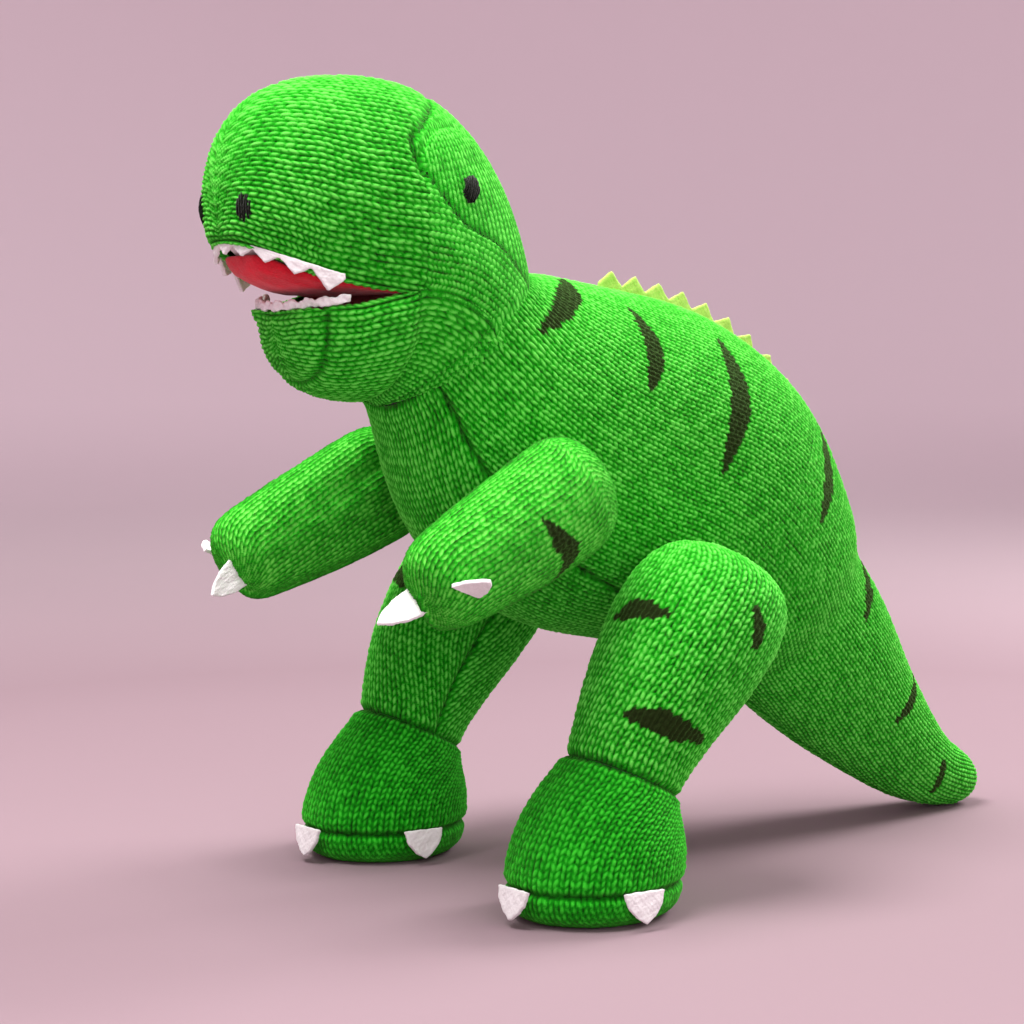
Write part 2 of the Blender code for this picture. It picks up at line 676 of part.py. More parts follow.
# ---------------------------------------------------------------- face and claws
def surface_of(part):
    """A search tree over a part as its modifiers leave it, in the foot frame (mm)."""
    bpy.context.view_layer.update()
    evaluated = part.evaluated_get(bpy.context.evaluated_depsgraph_get())
    mesh = evaluated.to_mesh()
    to_foot = Matrix.Scale(1.0 / MM, 4) @ toy.matrix_world.inverted() @ part.matrix_world
    points = [to_foot @ vertex.co for vertex in mesh.vertices]
    tree = BVHTree.FromPolygons(points, [list(face.vertices) for face in mesh.polygons])
    evaluated.to_mesh_clear()
    return tree


def add_button(name, skin, start, direction, half_sizes, turn, body):
    """A low oval of close stitching that lies on a skin where a ray meets it."""
    place, normal, _, _ = surface_of(skin).ray_cast(Vector(start), Vector(direction))
    thickness = half_sizes[2]
    work = bmesh.new()
    bmesh.ops.create_uvsphere(work, u_segments=12, v_segments=6, radius=1.0)
    frame = normal.to_track_quat("Z", "Y").to_matrix().to_4x4()
    spin = Matrix.Rotation(math.radians(turn), 4, "Z")
    seat = Matrix.Translation(place + normal * (thickness + BUTTON_LIFT))
    shape = seat @ frame @ spin @ Matrix.Diagonal((*half_sizes, 1.0))
    bmesh.ops.transform(work, matrix=shape, verts=work.verts)
    add_part(name, work, body, BLACK)


def make_face(skins):
    """Eyes where rays from the sides meet the head, nostrils where rays from the front do."""
    for name, sign in SIDES.items():
        start = (sign * CUTTER_REACH, *EYE)
        add_button(f"{name}_eye", skins["head_back_skin"], start, (-sign, 0.0, 0.0),
                   EYE_HALF_SIZES, sign * EYE_TURN, head_body)
        start = (sign * NOSTRIL[0], -CUTTER_REACH, NOSTRIL[1])
        add_button(f"{name}_nostril", skins["snout_skin"], start, (0.0, 1.0, 0.0),
                   NOSTRIL_HALF_SIZES, 0.0, head_body)


def add_claw(name, root, tip, across, width, body):
    """A pointed piece of felt from a root to a tip, a width wide at its root."""
    root, tip, across = Vector(root), Vector(tip), Vector(across).normalized()
    along = tip - root
    outline = [root + across * width / 2.0]
    for share, spread in ((0.45, 0.42), (0.8, 0.22)):
        outline.append(root + along * share + across * width * spread)
    outline.append(tip)
    outline += [point - 2.0 * (point - root).project(across) for point in reversed(outline[:-1])]
    work = bmesh.new()
    work.faces.new([work.verts.new(point) for point in outline])
    claw = add_part(name, work, body, WHITE, FELT_ROUGHNESS)
    claw.data.shade_flat()
    thicken(claw, FELT).modifiers["thickness"].offset = 0.0


def mirrored(point, sign):
    return Vector((sign * point[0], point[1], point[2]))


def make_claws(arm_skins):
    for name, sign in SIDES.items():
        hand = surface_of(arm_skins[name])
        for place, (way_out, reach, across) in HAND_CLAWS.items():
            out = mirrored(way_out, sign).normalized()
            middle = mirrored(HAND_MIDDLE, sign)
            surface, _, _, _ = hand.ray_cast(middle + out * 50.0, -out)
            root = surface + out * HAND_CLAW_GAP
            tip = root + mirrored(reach, sign)
            claw_name = f"{name}_hand_{place}_claw"
            add_claw(claw_name, root, tip, mirrored(across, sign), HAND_CLAW_WIDTH, arm_bodies[name])
        for place, turn in TOE_TURNS.items():
            angle = math.radians(turn)
            out = Vector((sign * math.sin(angle), -math.cos(angle), 0.0))
            reach = 1.0 / math.hypot(math.sin(angle) / (FOOT_HALF_WIDTH + TOE_CLAW_GAP),
                                     math.cos(angle) / (FOOT_HALF_LENGTH + TOE_CLAW_GAP))
            seam = Vector((sign * FOOT_CENTRE[0], FOOT_CENTRE[1], TOE_CLAW_HEIGHT)) + out * reach
            tip = seam + out * 1.5 - Vector((0.0, 0.0, TOE_CLAW_LENGTH))
            across = out.cross(Vector((0.0, 0.0, 1.0)))
            add_claw(f"{name}_toe_{place}_claw", seam, tip, across, TOE_CLAW_WIDTH, leg_bodies[name])


make_body()
make_spikes()
make_tail()
head_skins = make_head()
make_face(head_skins)
make_palate()
make_jaw()
make_teeth()
arms = {}
for side_name, side_sign in SIDES.items():
    arms[side_name] = make_arm(side_name, side_sign)
    make_leg(side_name, side_sign)
make_claws(arms)
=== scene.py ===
"""A knitted stuffed dinosaur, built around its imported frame.

Lengths in the tables are in millimetres, in the frame the CAD part is drawn in: feet
midway at y = 0, the floor at z = 0, the animal facing -Y.  at() turns them into the row
frame in metres.
"""

import json
import math

import bmesh
import bpy
import numpy as np
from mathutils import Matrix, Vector
from mathutils.bvhtree import BVHTree


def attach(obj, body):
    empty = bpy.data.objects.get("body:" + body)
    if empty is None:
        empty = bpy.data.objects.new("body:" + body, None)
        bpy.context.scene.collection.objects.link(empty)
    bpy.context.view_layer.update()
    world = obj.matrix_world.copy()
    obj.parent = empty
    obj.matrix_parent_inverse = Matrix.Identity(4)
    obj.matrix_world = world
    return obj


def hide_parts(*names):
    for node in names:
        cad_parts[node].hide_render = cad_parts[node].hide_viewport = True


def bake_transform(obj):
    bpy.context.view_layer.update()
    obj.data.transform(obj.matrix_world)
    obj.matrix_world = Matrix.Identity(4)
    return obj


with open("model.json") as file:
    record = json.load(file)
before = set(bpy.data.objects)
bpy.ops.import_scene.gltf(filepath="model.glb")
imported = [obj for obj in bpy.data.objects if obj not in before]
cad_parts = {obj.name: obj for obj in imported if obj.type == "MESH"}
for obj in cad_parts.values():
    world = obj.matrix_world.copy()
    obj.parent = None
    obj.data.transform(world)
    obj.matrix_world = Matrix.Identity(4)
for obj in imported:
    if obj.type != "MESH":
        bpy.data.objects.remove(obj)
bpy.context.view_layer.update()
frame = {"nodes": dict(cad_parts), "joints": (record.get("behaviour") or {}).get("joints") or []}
joints = {joint["name"]: joint for joint in frame["joints"]}
MM = 0.001
SHIFT = joints["neck_turn"]["pos_m"][1] / MM + 15.0

# ---- camera
AZIMUTH, ELEVATION, DISTANCE = math.radians(53.0), math.radians(4.4), 0.85
TARGET = Vector((0.0, (11.2 + SHIFT) * MM, 0.1242))

camera_data = bpy.data.cameras.new("camera")
camera_data.sensor_width = 36.0
camera_data.lens = 88.7
camera = bpy.data.objects.new("camera", camera_data)
bpy.context.scene.collection.objects.link(camera)
away = Vector((math.sin(AZIMUTH) * math.cos(ELEVATION), -math.cos(AZIMUTH) * math.cos(ELEVATION),
               math.sin(ELEVATION)))
camera.location = TARGET + away * DISTANCE
camera.rotation_mode = "QUATERNION"
camera.rotation_quaternion = (-away).to_track_quat("-Z", "Y")
bpy.context.scene.camera = camera
bpy.context.scene.view_settings.view_transform = "Standard"

# ---- spines of the limbs and trunk
# Trunk and tail: y, z and lean of the planes of the rings; lean 0 is a plane across Y.
TRUNK = [
    (-21, 190.7, 48.5), (-15, 184, 48.5), (-1, 168, 44), (21, 151.5, 40), (52, 138.5, 36), (84, 128, 36),
    (104, 113, 40), (122, 98, 43), (137, 81, 45), (152, 66.5, 47), (171, 46.5, 47), (191, 28.5, 42),
    (209, 16.2, 28), (225, 10.8, 8),
]
TAIL_START = 5.6             # where the tail half begins, in rings of the trunk
ARM = [(51, 0, 136, -25), (51.5, -4, 134, -25), (54.5, -32, 121, -25), (57, -55, 111, -25)]
LEG = [(61.5, 47, 100, 122.5), (61.5, 43, 94, 122.5), (61.5, 32, 80, 122.5), (61, 20, 64, 120),
       (60, 12.5, 50, 118), (59.5, 9.9, 42.8, 116)]
FOOT = [(59.5, 9.9, 42.8, 116), (59.5, 7, 37.5, 110), (59.5, 2.5, 29, 100), (59.5, 0, 20, 92),
        (59.5, -1, 11.2, 90)]

WALE, COURSE = 3.3, 2.3      # width of a column of stitches and height of one
RELIEF = 0.8
SINK = 1.5                   # how deep a seam draws the knitting in
SEAM_HALF_WIDTH = 1.5
LUMP_SIZE = 14.0             # length of the slow waves in stuffing
NO_SEAM = 99.0               # a distance to the nearest seam where there is none
SPIKE = 4.0                  # a cast point this far off its neighbours fell between panels


def at(points):
    """Millimetres of the CAD frame as metres of the row frame."""
    points = np.asarray(points, float)
    return (points + np.array([0.0, SHIFT, 0.0])) * MM


def place_of(node):
    """A node's points in millimetres of the CAD frame."""
    points = np.array([v.co for v in frame["nodes"][node].data.vertices])
    return points / MM - np.array([0.0, SHIFT, 0.0])


def tree_of(*nodes):
    """A tree to cast rays at, of the faces of some nodes."""
    points, faces = [], []
    for node in nodes:
        mesh = frame["nodes"][node].data
        start = len(points)
        points += [Vector(p) for p in place_of(node)]
        faces += [[start + i for i in polygon.vertices] for polygon in mesh.polygons]
    return BVHTree.FromPolygons(points, faces)


# ---- curves and grids
def cubic(a, b, c, d, f):
    """The Catmull-Rom value a share f of the way from b to c."""
    return 0.5 * (2 * b + (c - a) * f + (2 * a - 5 * b + 4 * c - d) * f ** 2
                  + (3 * b - a - 3 * c + d) * f ** 3)


def along(points, t):
    """A Catmull-Rom curve through rows of numbers, at each t in rows."""
    points = np.asarray(points, float)
    points = np.vstack([2 * points[0] - points[1], points, 2 * points[-1] - points[-2]])
    t = np.clip(np.asarray(t, float), 0, len(points) - 3 - 1e-9)
    i = t.astype(int)
    return cubic(*[points[i + k] for k in range(4)], (t - i)[:, None])


def lengths_along(line):
    """How far along a line of points each of them lies."""
    return np.concatenate([[0], np.cumsum(np.linalg.norm(np.diff(line, axis=0), axis=1))])


def even_steps(points, count):
    """Values of t along such a curve that are evenly spaced by length."""
    t = np.linspace(0.0, len(points) - 1, 400)
    length = lengths_along(along(points, t)[:, :3])
    return np.interp(np.linspace(0, length[-1], count), length, t)


def cast_ring(tree, centre, up, axis, tilt, angles, reach):
    """Distance from a centre to the outside of a body, in each direction around it."""
    found = []
    for angle in angles:
        ray = (math.cos(tilt) * (math.sin(angle) * np.array([1.0, 0, 0]) + math.cos(angle) * up)
               + math.sin(tilt) * axis)
        ray /= np.linalg.norm(ray)
        hit = tree.ray_cast(Vector(centre + ray * reach), Vector(-ray), reach)
        found.append(reach - hit[3] if hit[3] is not None else np.nan)
    return np.array(found)


def mend(field, wrap, rounds=2):
    """Fills the gaps that fell between panels, drops spikes and smooths."""
    for row in field:
        good = ~np.isnan(row)
        if good.any() and not good.all():
            row[~good] = np.interp(np.flatnonzero(~good), np.flatnonzero(good), row[good],
                                   period=len(row) if wrap else None)
    empty = np.flatnonzero(np.isnan(field).any(axis=1))
    full = np.flatnonzero(~np.isnan(field).any(axis=1))
    for k in empty:
        field[k] = field[full[np.abs(full - k).argmin()]]
    side = "wrap" if wrap else "edge"
    padded = np.pad(np.pad(field, ((1, 1), (0, 0)), "edge"), ((0, 0), (1, 1)), side)
    near = np.stack([padded[i:i + field.shape[0], j:j + field.shape[1]] for i in range(3) for j in range(3)])
    middle = np.median(near, axis=0)
    field = np.where(np.abs(field - middle) > SPIKE, middle, field)
    for _ in range(rounds):
        padded = np.pad(np.pad(field, ((1, 1), (0, 0)), "edge"), ((0, 0), (1, 1)), side)
        rows = (padded[:-2] + 2 * padded[1:-1] + padded[2:]) / 4
        field = (rows[:, :-2] + 2 * rows[:, 1:-1] + rows[:, 2:]) / 4
    return field


class Body:
    """A soft form: distances from a curved spine, on rings that can close in a cap at either end."""

    def __init__(self, tree, spine, caps=(None, None), reach=90.0, rows=40, angle_count=72, rounds=2):
        spine = np.asarray(spine, float)
        cap_rows = 15
        t = even_steps(spine, rows)
        entries = [(*row, 0.0, 0) for row in along(spine, t)]
        if caps[0] is not None:
            tilts = np.linspace(math.pi / 2, 0, cap_rows)[:-1]
            entries = [(*spine[0], tilt, -1) for tilt in tilts] + entries
        if caps[1] is not None:
            tilts = np.linspace(0, math.pi / 2, cap_rows)[1:]
            entries += [(*spine[-1], tilt, 1) for tilt in tilts]
        self.angles = np.linspace(0, 2 * math.pi, angle_count, endpoint=False)
        self.entries = np.array(entries)
        self.caps = [None if cap is None else np.asarray(cap, float) for cap in caps]
        field = []
        for entry in self.entries:
            centre, up, axis, tilt = self.frame_at(entry)
            field.append(cast_ring(tree, centre, up, axis, tilt, self.angles, reach))
        self.field = mend(np.array(field), True, rounds)
        for k, cap in ((0, caps[0]), (-1, caps[1])):
            if cap is not None:
                self.field[k] = np.mean(self.field[k])

    def frame_at(self, entry):
        centre, lean, tilt, end = entry[:3], math.radians(entry[3]), entry[4], entry[5]
        up = np.array([0.0, math.sin(lean), math.cos(lean)])
        axis = self.caps[0] if end < 0 else self.caps[1] if end > 0 else np.zeros(3)
        return centre, up, axis, tilt

    def sample(self, v, angle):
        """Points at rows v (in entries) and angles, both arrays of one shape."""
        shape = np.broadcast(v, angle).shape
        v = np.clip(np.broadcast_to(v, shape), 0, len(self.entries) - 1 - 1e-6)
        angle = np.broadcast_to(angle, shape)
        i = v.astype(int)
        f = v - i
        count = len(self.angles)
        a = (angle / (2 * math.pi) * count) % count
        j = a.astype(int)
        g = a - j
        rows = [np.clip(i + k, 0, len(self.entries) - 1) for k in (-1, 0, 1, 2)]
        columns = [(j + k) % count for k in (-1, 0, 1, 2)]
        lines = [cubic(*[self.field[row, column] for column in columns], g) for row in rows]
        radius = cubic(*lines, f)
        lo, hi = self.entries[i], self.entries[np.clip(i + 1, 0, len(self.entries) - 1)]
        mix = lo + (hi - lo) * f[..., None]
        lean, tilt = np.radians(mix[..., 3]), mix[..., 4]
        up = np.stack([0 * lean, np.sin(lean), np.cos(lean)], -1)
        side = np.stack([0 * lean + 1, 0 * lean, 0 * lean], -1)
        ray = np.cos(tilt)[..., None] * (np.sin(angle)[..., None] * side + np.cos(angle)[..., None] * up)
        for end, cap in ((-1, self.caps[0]), (1, self.caps[1])):
            if cap is not None:
                here = (np.sign(np.where(lo[..., 5] != 0, lo[..., 5], hi[..., 5])) == end)
                ray = ray + np.where(here, np.sin(tilt), 0)[..., None] * cap
        ray /= np.linalg.norm(ray, axis=-1, keepdims=True)
        return mix[..., :3] + ray * radius[..., None]


def strip(body, v, first, last, count, warp=None):
    """A grid of points between two angles, evenly spaced across on every row."""
    rows = []
    share = np.linspace(0, 1, 181)
    for row, a, b in zip(v, np.broadcast_to(first, len(v)), np.broadcast_to(last, len(v))):
        angle = a + (b - a) * share
        there = row if warp is None else row + warp(row, angle)
        line = body.sample(there, angle)
        length = lengths_along(line)
        if length[-1] < 1e-6:
            rows.append(np.repeat(line[:1], count, axis=0))
            continue
        wanted = np.interp(np.linspace(0, length[-1], count), length, angle)
        there = row if warp is None else row + warp(row, wanted)
        rows.append(body.sample(there, wanted))
    return np.array(rows)


def even_rows(body, first, last, pitch, angle=math.pi / 2):
    """Rows between two, evenly spaced along one line of the body, about a pitch apart."""
    v = np.linspace(first, last, 600)
    length = lengths_along(body.sample(v, np.full(len(v), angle)))
    count = int(length[-1] / pitch) + 1
    return np.interp(np.linspace(0, length[-1], count), length, v)


def normals_of(grid, wrap=False):
    """Outward directions at the points of a grid; rows that close to a point take a near row's mean."""
    across = np.gradient(grid, axis=1)
    if wrap:
        across[:, 0] = across[:, -1] = (grid[:, 1] - grid[:, -2]) / 2
    down = np.gradient(grid, axis=0)
    normal = np.cross(across, down)
    length = np.linalg.norm(normal, axis=-1, keepdims=True)
    normal = normal / np.maximum(length, 1e-9)
    weak = length[..., 0] < 1e-5
    if weak.any():
        for k in np.flatnonzero(weak.any(axis=1)):
            source = min(k + 3, len(grid) - 1) if k < len(grid) / 2 else max(k - 3, 0)
            mean = normal[source].mean(axis=0)
            normal[k] = mean / max(np.linalg.norm(mean), 1e-9)
    return normal


# ---- knitting
def stitches(s, t):
    """Height from 0 to 1 of stockinette, and the number of each half-stitch. s and t are in stitches."""
    column = np.floor(s)
    across = s - column
    leg = (across > 0.5).astype(float)
    a = np.abs(across - 0.5) * 2
    phase = t - 0.62 * a + 0.13 * leg
    course = np.floor(phase)
    p = phase - course
    ridge = np.sin(math.pi * np.clip(a, 0.02, 0.98)) ** 0.55
    grain = np.sin(math.pi * p) ** 0.6
    height = ridge * (0.38 + 0.62 * grain)
    key = column * 4093.0 + course * 2.0 + leg
    return height, key


def per_stitch(key, seed):
    """A number from 0 to 1 for each half-stitch."""
    value = np.sin(key * 12.9898 + seed * 78.233) * 43758.5453
    return value - np.floor(value)


def stitch_centres(points, key):
    """For every point, the middle of the half-stitch it belongs to."""
    unique, index = np.unique(key, return_inverse=True)
    index = index.ravel()
    flat = points.reshape(-1, 3)
    count = np.bincount(index)
    centre = np.stack([np.bincount(index, flat[:, k]) / count for k in range(3)], -1)
    return centre[index].reshape(points.shape)


def smooth_step(x, a, b):
    """0 below a, 1 above b and an even rise between."""
    x = np.clip((x - a) / (b - a), 0, 1)
    return x * x * (3 - 2 * x)


def unevenness(points, size, seed):
    """A slow wander from -1 to 1, for stuffing that isn't quite even."""
    x, y, z = np.moveaxis(points / size, -1, 0)
    total = 0
    for k, (a, b, c) in enumerate(((1.0, 0.6, 0.4), (-0.5, 1.1, 0.7), (0.8, -0.4, 1.2), (-0.9, -0.7, 0.5))):
        total = total + np.sin(x * a * 1.7 + y * b * 1.5 + z * c * 1.6 + seed * 1.3 + k)
    return total / 4


def new_object(name, points, faces, attributes=None):
    """A smooth mesh from arrays of points in millimetres and faces of four."""
    mesh = bpy.data.meshes.new(name)
    points = at(points.reshape(-1, 3)).astype(np.float32)
    used, inverse = np.unique(faces.ravel(), return_inverse=True)
    faces = inverse.reshape(faces.shape)
    points = points[used]
    mesh.vertices.add(len(points))
    mesh.vertices.foreach_set("co", points.ravel())
    mesh.loops.add(faces.size)
    mesh.loops.foreach_set("vertex_index", faces.ravel().astype(np.int32))
    mesh.polygons.add(len(faces))
    mesh.polygons.foreach_set("loop_start", np.arange(0, faces.size, faces.shape[1], dtype=np.int32))
    mesh.polygons.foreach_set("use_smooth", np.ones(len(faces), bool))
    mesh.update(calc_edges=True)
    for label, values in (attributes or {}).items():
        attribute = mesh.attributes.new(label, "FLOAT", "POINT")
        attribute.data.foreach_set("value", values.ravel()[used].astype(np.float32))
    mesh.validate()
    made = bpy.data.objects.new(name, mesh)
    bpy.context.scene.collection.objects.link(made)
    return made


def grid_faces(rows, columns):
    """The quads of a grid of points, facing outward."""
    i, j = np.meshgrid(np.arange(rows - 1), np.arange(columns - 1), indexing="ij")
    a = (i * columns + j).ravel()
    return np.stack([a, a + 1, a + columns + 1, a + columns], -1)


def weld(piece):
    """Joins the points that fall together where a panel closes."""
    mesh = bmesh.new()
    mesh.from_mesh(piece.data)
    bmesh.ops.remove_doubles(mesh, verts=mesh.verts, dist=0.01 * MM)
    mesh.to_mesh(piece.data)
    mesh.free()


def knit(name, grid, s, t, material, seams, stripes=(), seed=1, relief=RELIEF, wrap=False, keep=None,
         lump=0.35, mirror=False, bulge=0.0):
    """One knitted panel.

    grid holds the plain points; s and t are the stitch coordinates in millimetres; seams is
    the distance of each point to the nearest seam; stripes are bands of dark yarn; keep says
    which points belong to the panel; bulge is how far out each point stands.
    """
    normal = normals_of(grid, wrap)
    wobble = unevenness(grid, 5.0, 4.0), unevenness(grid, 4.0, 9.0)
    height, key = stitches((s + 0.38 * wobble[0]) / WALE, (t + 0.42 * wobble[1]) / COURSE)
    tone = per_stitch(key, seed)
    fade = smooth_step(seams, 0.0, 1.0)
    base = grid + normal * (lump * unevenness(grid, LUMP_SIZE, 1.0))[..., None]
    offset = bulge - SINK * np.exp(-(seams / SEAM_HALF_WIDTH) ** 2)
    offset += relief * fade * (height - 0.55 + 0.3 * (tone - 0.5))
    points = base + normal * offset[..., None]
    points[..., 2] = np.maximum(points[..., 2], 0.0)
    dark = np.zeros(s.shape)
    if len(stripes):
        centres = stitch_centres(grid, key)
        place = 0.45 * grid + 0.55 * centres
        for stripe in stripes:
            dark = np.maximum(dark, in_stripe(place, stripe))
    # Painted shade and highlight: the stitch height, pulled down along the seams, becomes a colour value that
    # is dark in the grooves and seam creases and pale on the stitch crests.
    painted_stitch_shade = height * (0.35 + 0.65 * smooth_step(seams, 0.0, 1.8))
    faces = grid_faces(*s.shape)
    if keep is not None:
        faces = faces[keep.ravel()[faces].mean(axis=1) > 0.5]
    if mirror:
        points = points * np.array([-1.0, 1, 1])
        faces = faces[:, ::-1]
    made = new_object(name, points, faces, {"painted_stitch_shade": painted_stitch_shade, "tone": tone, "stripe": dark})
    weld(made)
    made.data.materials.append(material)
    return made


def in_stripe(points, stripe):
    """1 where points lie in a spindle-shaped band along a line of points."""
    line, half_width = stripe
    line = np.asarray(line, float)
    fine = along(line, np.linspace(0, len(line) - 1, 40))
    flat = points.reshape(-1, 3)
    result = np.zeros(len(flat))
    lo, hi = fine.min(0) - half_width - 3, fine.max(0) + half_width + 3
    near = np.flatnonzero(((flat > lo) & (flat < hi)).all(axis=1))
    if not len(near):
        return result.reshape(points.shape[:-1])
    gap = np.linalg.norm(flat[near, None] - fine[None], axis=-1)
    nearest = gap.argmin(axis=1)
    share = nearest / (len(fine) - 1)
    width = half_width * np.sin(math.pi * np.clip(share, 0.0, 1.0)) ** 0.75
    inside = gap[np.arange(len(near)), nearest] < width
    inside &= (share > 0.01) & (share < 0.99)
    result[near] = inside
    return result.reshape(points.shape[:-1])


def arc_lengths(grid):
    """How far across its row each point of a grid lies."""
    across = np.linalg.norm(np.diff(grid, axis=1), axis=-1)
    return np.concatenate([np.zeros((len(grid), 1)), np.cumsum(across, axis=1)], axis=1)


# ---- materials
def colour(red, green, blue):
    """An sRGB colour from 0 to 255 as the linear one that shaders take."""
    values = []
    for value in (red, green, blue):
        value /= 255.0
        values.append(value / 12.92 if value <= 0.04045 else ((value + 0.055) / 1.055) ** 2.4)
    return (*values, 1.0)


class Shader:
    """A short way to write node trees."""

    def __init__(self, name):
        self.material = bpy.data.materials.new(name)
        self.material.use_nodes = True
        self.nodes = self.material.node_tree.nodes
        self.links = self.material.node_tree.links
        self.shader = self.nodes["Principled BSDF"]

    def node(self, kind, inputs=None, **settings):
        made = self.nodes.new(kind)
        for label, value in settings.items():
            setattr(made, label, value)
        for label, value in (inputs or {}).items():
            self.set(made.inputs[label], value)
        return made

    def set(self, socket, value):
        if hasattr(value, "is_linked"):
            self.links.new(value, socket)
        else:
            socket.default_value = value

    def surface(self, inputs):
        """Sets or links inputs of the shader itself."""
        for label, value in inputs.items():
            self.set(self.shader.inputs[label], value)

    def attribute(self, name):
        return self.node("ShaderNodeAttribute", attribute_name=name).outputs["Fac"]

    def noise(self, scale, detail=3.0, roughness=0.6, stretch=None):
        place = self.node("ShaderNodeTexCoord").outputs["Object"]
        if stretch is not None:
            place = self.node("ShaderNodeMapping", {"Vector": place, "Scale": stretch}).outputs["Vector"]
        return self.node("ShaderNodeTexNoise", {"Vector": place, "Scale": scale, "Detail": detail,
                                                "Roughness": roughness}).outputs["Fac"]

    def mix(self, share, a, b, kind="MIX"):
        made = self.nodes.new("ShaderNodeMix")
        made.data_type = "RGBA"
        made.blend_type = kind
        self.set(made.inputs["Factor"], share)
        self.set(made.inputs["A"], a)
        self.set(made.inputs["B"], b)
        return made.outputs["Result"]

    def ramp(self, value, stops):
        made = self.node("ShaderNodeValToRGB", {"Fac": value})
        elements = made.color_ramp.elements
        while len(elements) < len(stops):
            elements.new(0.5)
        for element, (place, tint) in zip(elements, stops):
            element.position = place
            element.color = tint
        return made.outputs["Color"]

    def maths(self, kind, a, b):
        made = self.nodes.new("ShaderNodeMath")
        made.operation = kind
        self.set(made.inputs[0], a)
        self.set(made.inputs[1], b)
        return made.outputs[0]

    def bump(self, height, strength, distance):
        made = self.node("ShaderNodeBump", {"Height": height, "Strength": strength, "Distance": distance})
        self.links.new(made.outputs["Normal"], self.shader.inputs["Normal"])


def yarn_material(name, deep, middle, light):
    m = Shader(name)
    fibre = m.noise(1700.0, 4.0, 0.75)
    fleck = m.noise(520.0, 3.0, 0.6)
    patch = m.noise(36.0, 2.0, 0.5)
    painted_stitch_shade = m.attribute("painted_stitch_shade")
    value = m.maths("ADD", m.maths("MULTIPLY", painted_stitch_shade, 0.82), m.maths("MULTIPLY", fibre, 0.34))
    value = m.maths("ADD", value, m.maths("MULTIPLY", m.maths("SUBTRACT", m.attribute("tone"), 0.5), 0.26))
    value = m.maths("ADD", value, m.maths("MULTIPLY", m.maths("SUBTRACT", patch, 0.5), 0.25))
    # The ramp paints shade in the grooves (deep) and a highlight on the stitch crests (light), with the
    # yarn's own green (middle) between; fibre, tone and patch vary it at random.
    base = m.ramp(value, [(0.24, colour(*deep)), (0.66, colour(*middle)), (1.04, colour(*light))])
    base = m.mix(m.maths("MULTIPLY", m.maths("SUBTRACT", fleck, 0.35), 0.4), base, colour(*light))
    stripe = m.mix(fibre, colour(18, 25.2, 7.5), colour(40, 56, 15))
    base = m.mix(m.attribute("stripe"), base, stripe)
    m.surface({"Base Color": base, "Roughness": 0.92, "Specular IOR Level": 0.12, "Sheen Weight": 0.32,
               "Sheen Roughness": 0.42, "Sheen Tint": colour(150, 240, 110)})
    m.bump(m.maths("ADD", fibre, m.maths("MULTIPLY", fleck, 0.6)), 0.75, 0.0006)
    return m.material


def felt_material(name, dark, light, sheen=0.3):
    m = Shader(name)
    fibre = m.noise(1400.0, 5.0, 0.7)
    cloud = m.noise(130.0, 3.0, 0.55)
    value = m.maths("ADD", m.maths("MULTIPLY", fibre, 0.55), m.maths("MULTIPLY", cloud, 0.5))
    base = m.ramp(value, [(0.2, colour(*dark)), (0.75, colour(*light))])
    m.surface({"Base Color": base, "Roughness": 0.95, "Specular IOR Level": 0.1, "Sheen Weight": sheen,
               "Sheen Roughness": 0.5})
    m.bump(fibre, 0.6, 0.0005)
    return m.material


green = yarn_material("green_knit", (0, 40, 0), (6, 170, 4), (112, 238, 88))
light_green = yarn_material("light_green_knit", (0, 52, 0), (28, 180, 20), (124, 240, 92))
deep_green = yarn_material("deep_green_knit", (0, 32, 0), (4, 146, 6), (60, 212, 48))
lime = felt_material("lime_felt", (150, 205, 60), (205, 240, 120))
white = felt_material("white_felt", (226, 224, 222), (255, 255, 255))
red = felt_material("red_felt", (170, 6, 24), (246, 34, 58))
dark_red = felt_material("dark_red_felt", (84, 2, 8), (170, 10, 24))
black = felt_material("black_thread", (3, 5, 3), (22, 30, 18), 0.15)
fibrefill = felt_material("fibrefill", (200, 200, 195), (244, 244, 240))


# ---- trunk and tail
torso_tree = tree_of("left_flank", "right_flank", "chest_panel", "tail_skin")
neck_tree = tree_of("left_flank", "right_flank", "chest_panel", "snout_skin", "head_back_skin", "tail_skin")
trunk_spine = [(0.0, *row) for row in TRUNK]
tail_axis = np.array([0.0, 0.995, -0.1])
trunk = Body(neck_tree, trunk_spine, caps=(None, tail_axis), reach=72.0, rows=76, angle_count=96, rounds=3)
ROW_T = even_steps(np.asarray(trunk_spine), 76)


def trunk_row(t):
    """The row of the trunk at a place in its list of rings."""
    return float(np.interp(t, ROW_T, np.arange(len(ROW_T))))


NECK_ROW = trunk_row(1.0)
MIDDLE_ROW = trunk_row(TAIL_START)
END_ROW = len(trunk.entries) - 1.0
ROW_MM = np.linalg.norm(trunk.entries[30, :3] - trunk.entries[31, :3])
COLLAR_RISE = 7.5            # how much further forward the neck's edge stands at its sides


def collar(row, angle):
    """The neck's edge stands up towards the cheeks at its two sides."""
    rise = COLLAR_RISE * np.abs(np.sin(angle)) ** 1.5 / ROW_MM
    return -rise * smooth_step(np.full(np.shape(angle), -row), -(NECK_ROW + 22.0 / ROW_MM), -NECK_ROW)


CHEST_PLACES = [1, 2, 3, 4, 5, 6, 7]
CHEST_EDGE = [42, 40, 38, 34, 30, 26, 18]


def chest_edge(v):
    """The angle from straight down of the edge of the chest panel, at rows of the trunk."""
    t = np.interp(v, np.arange(len(ROW_T)), ROW_T)
    return np.radians(np.interp(t, CHEST_PLACES, CHEST_EDGE))


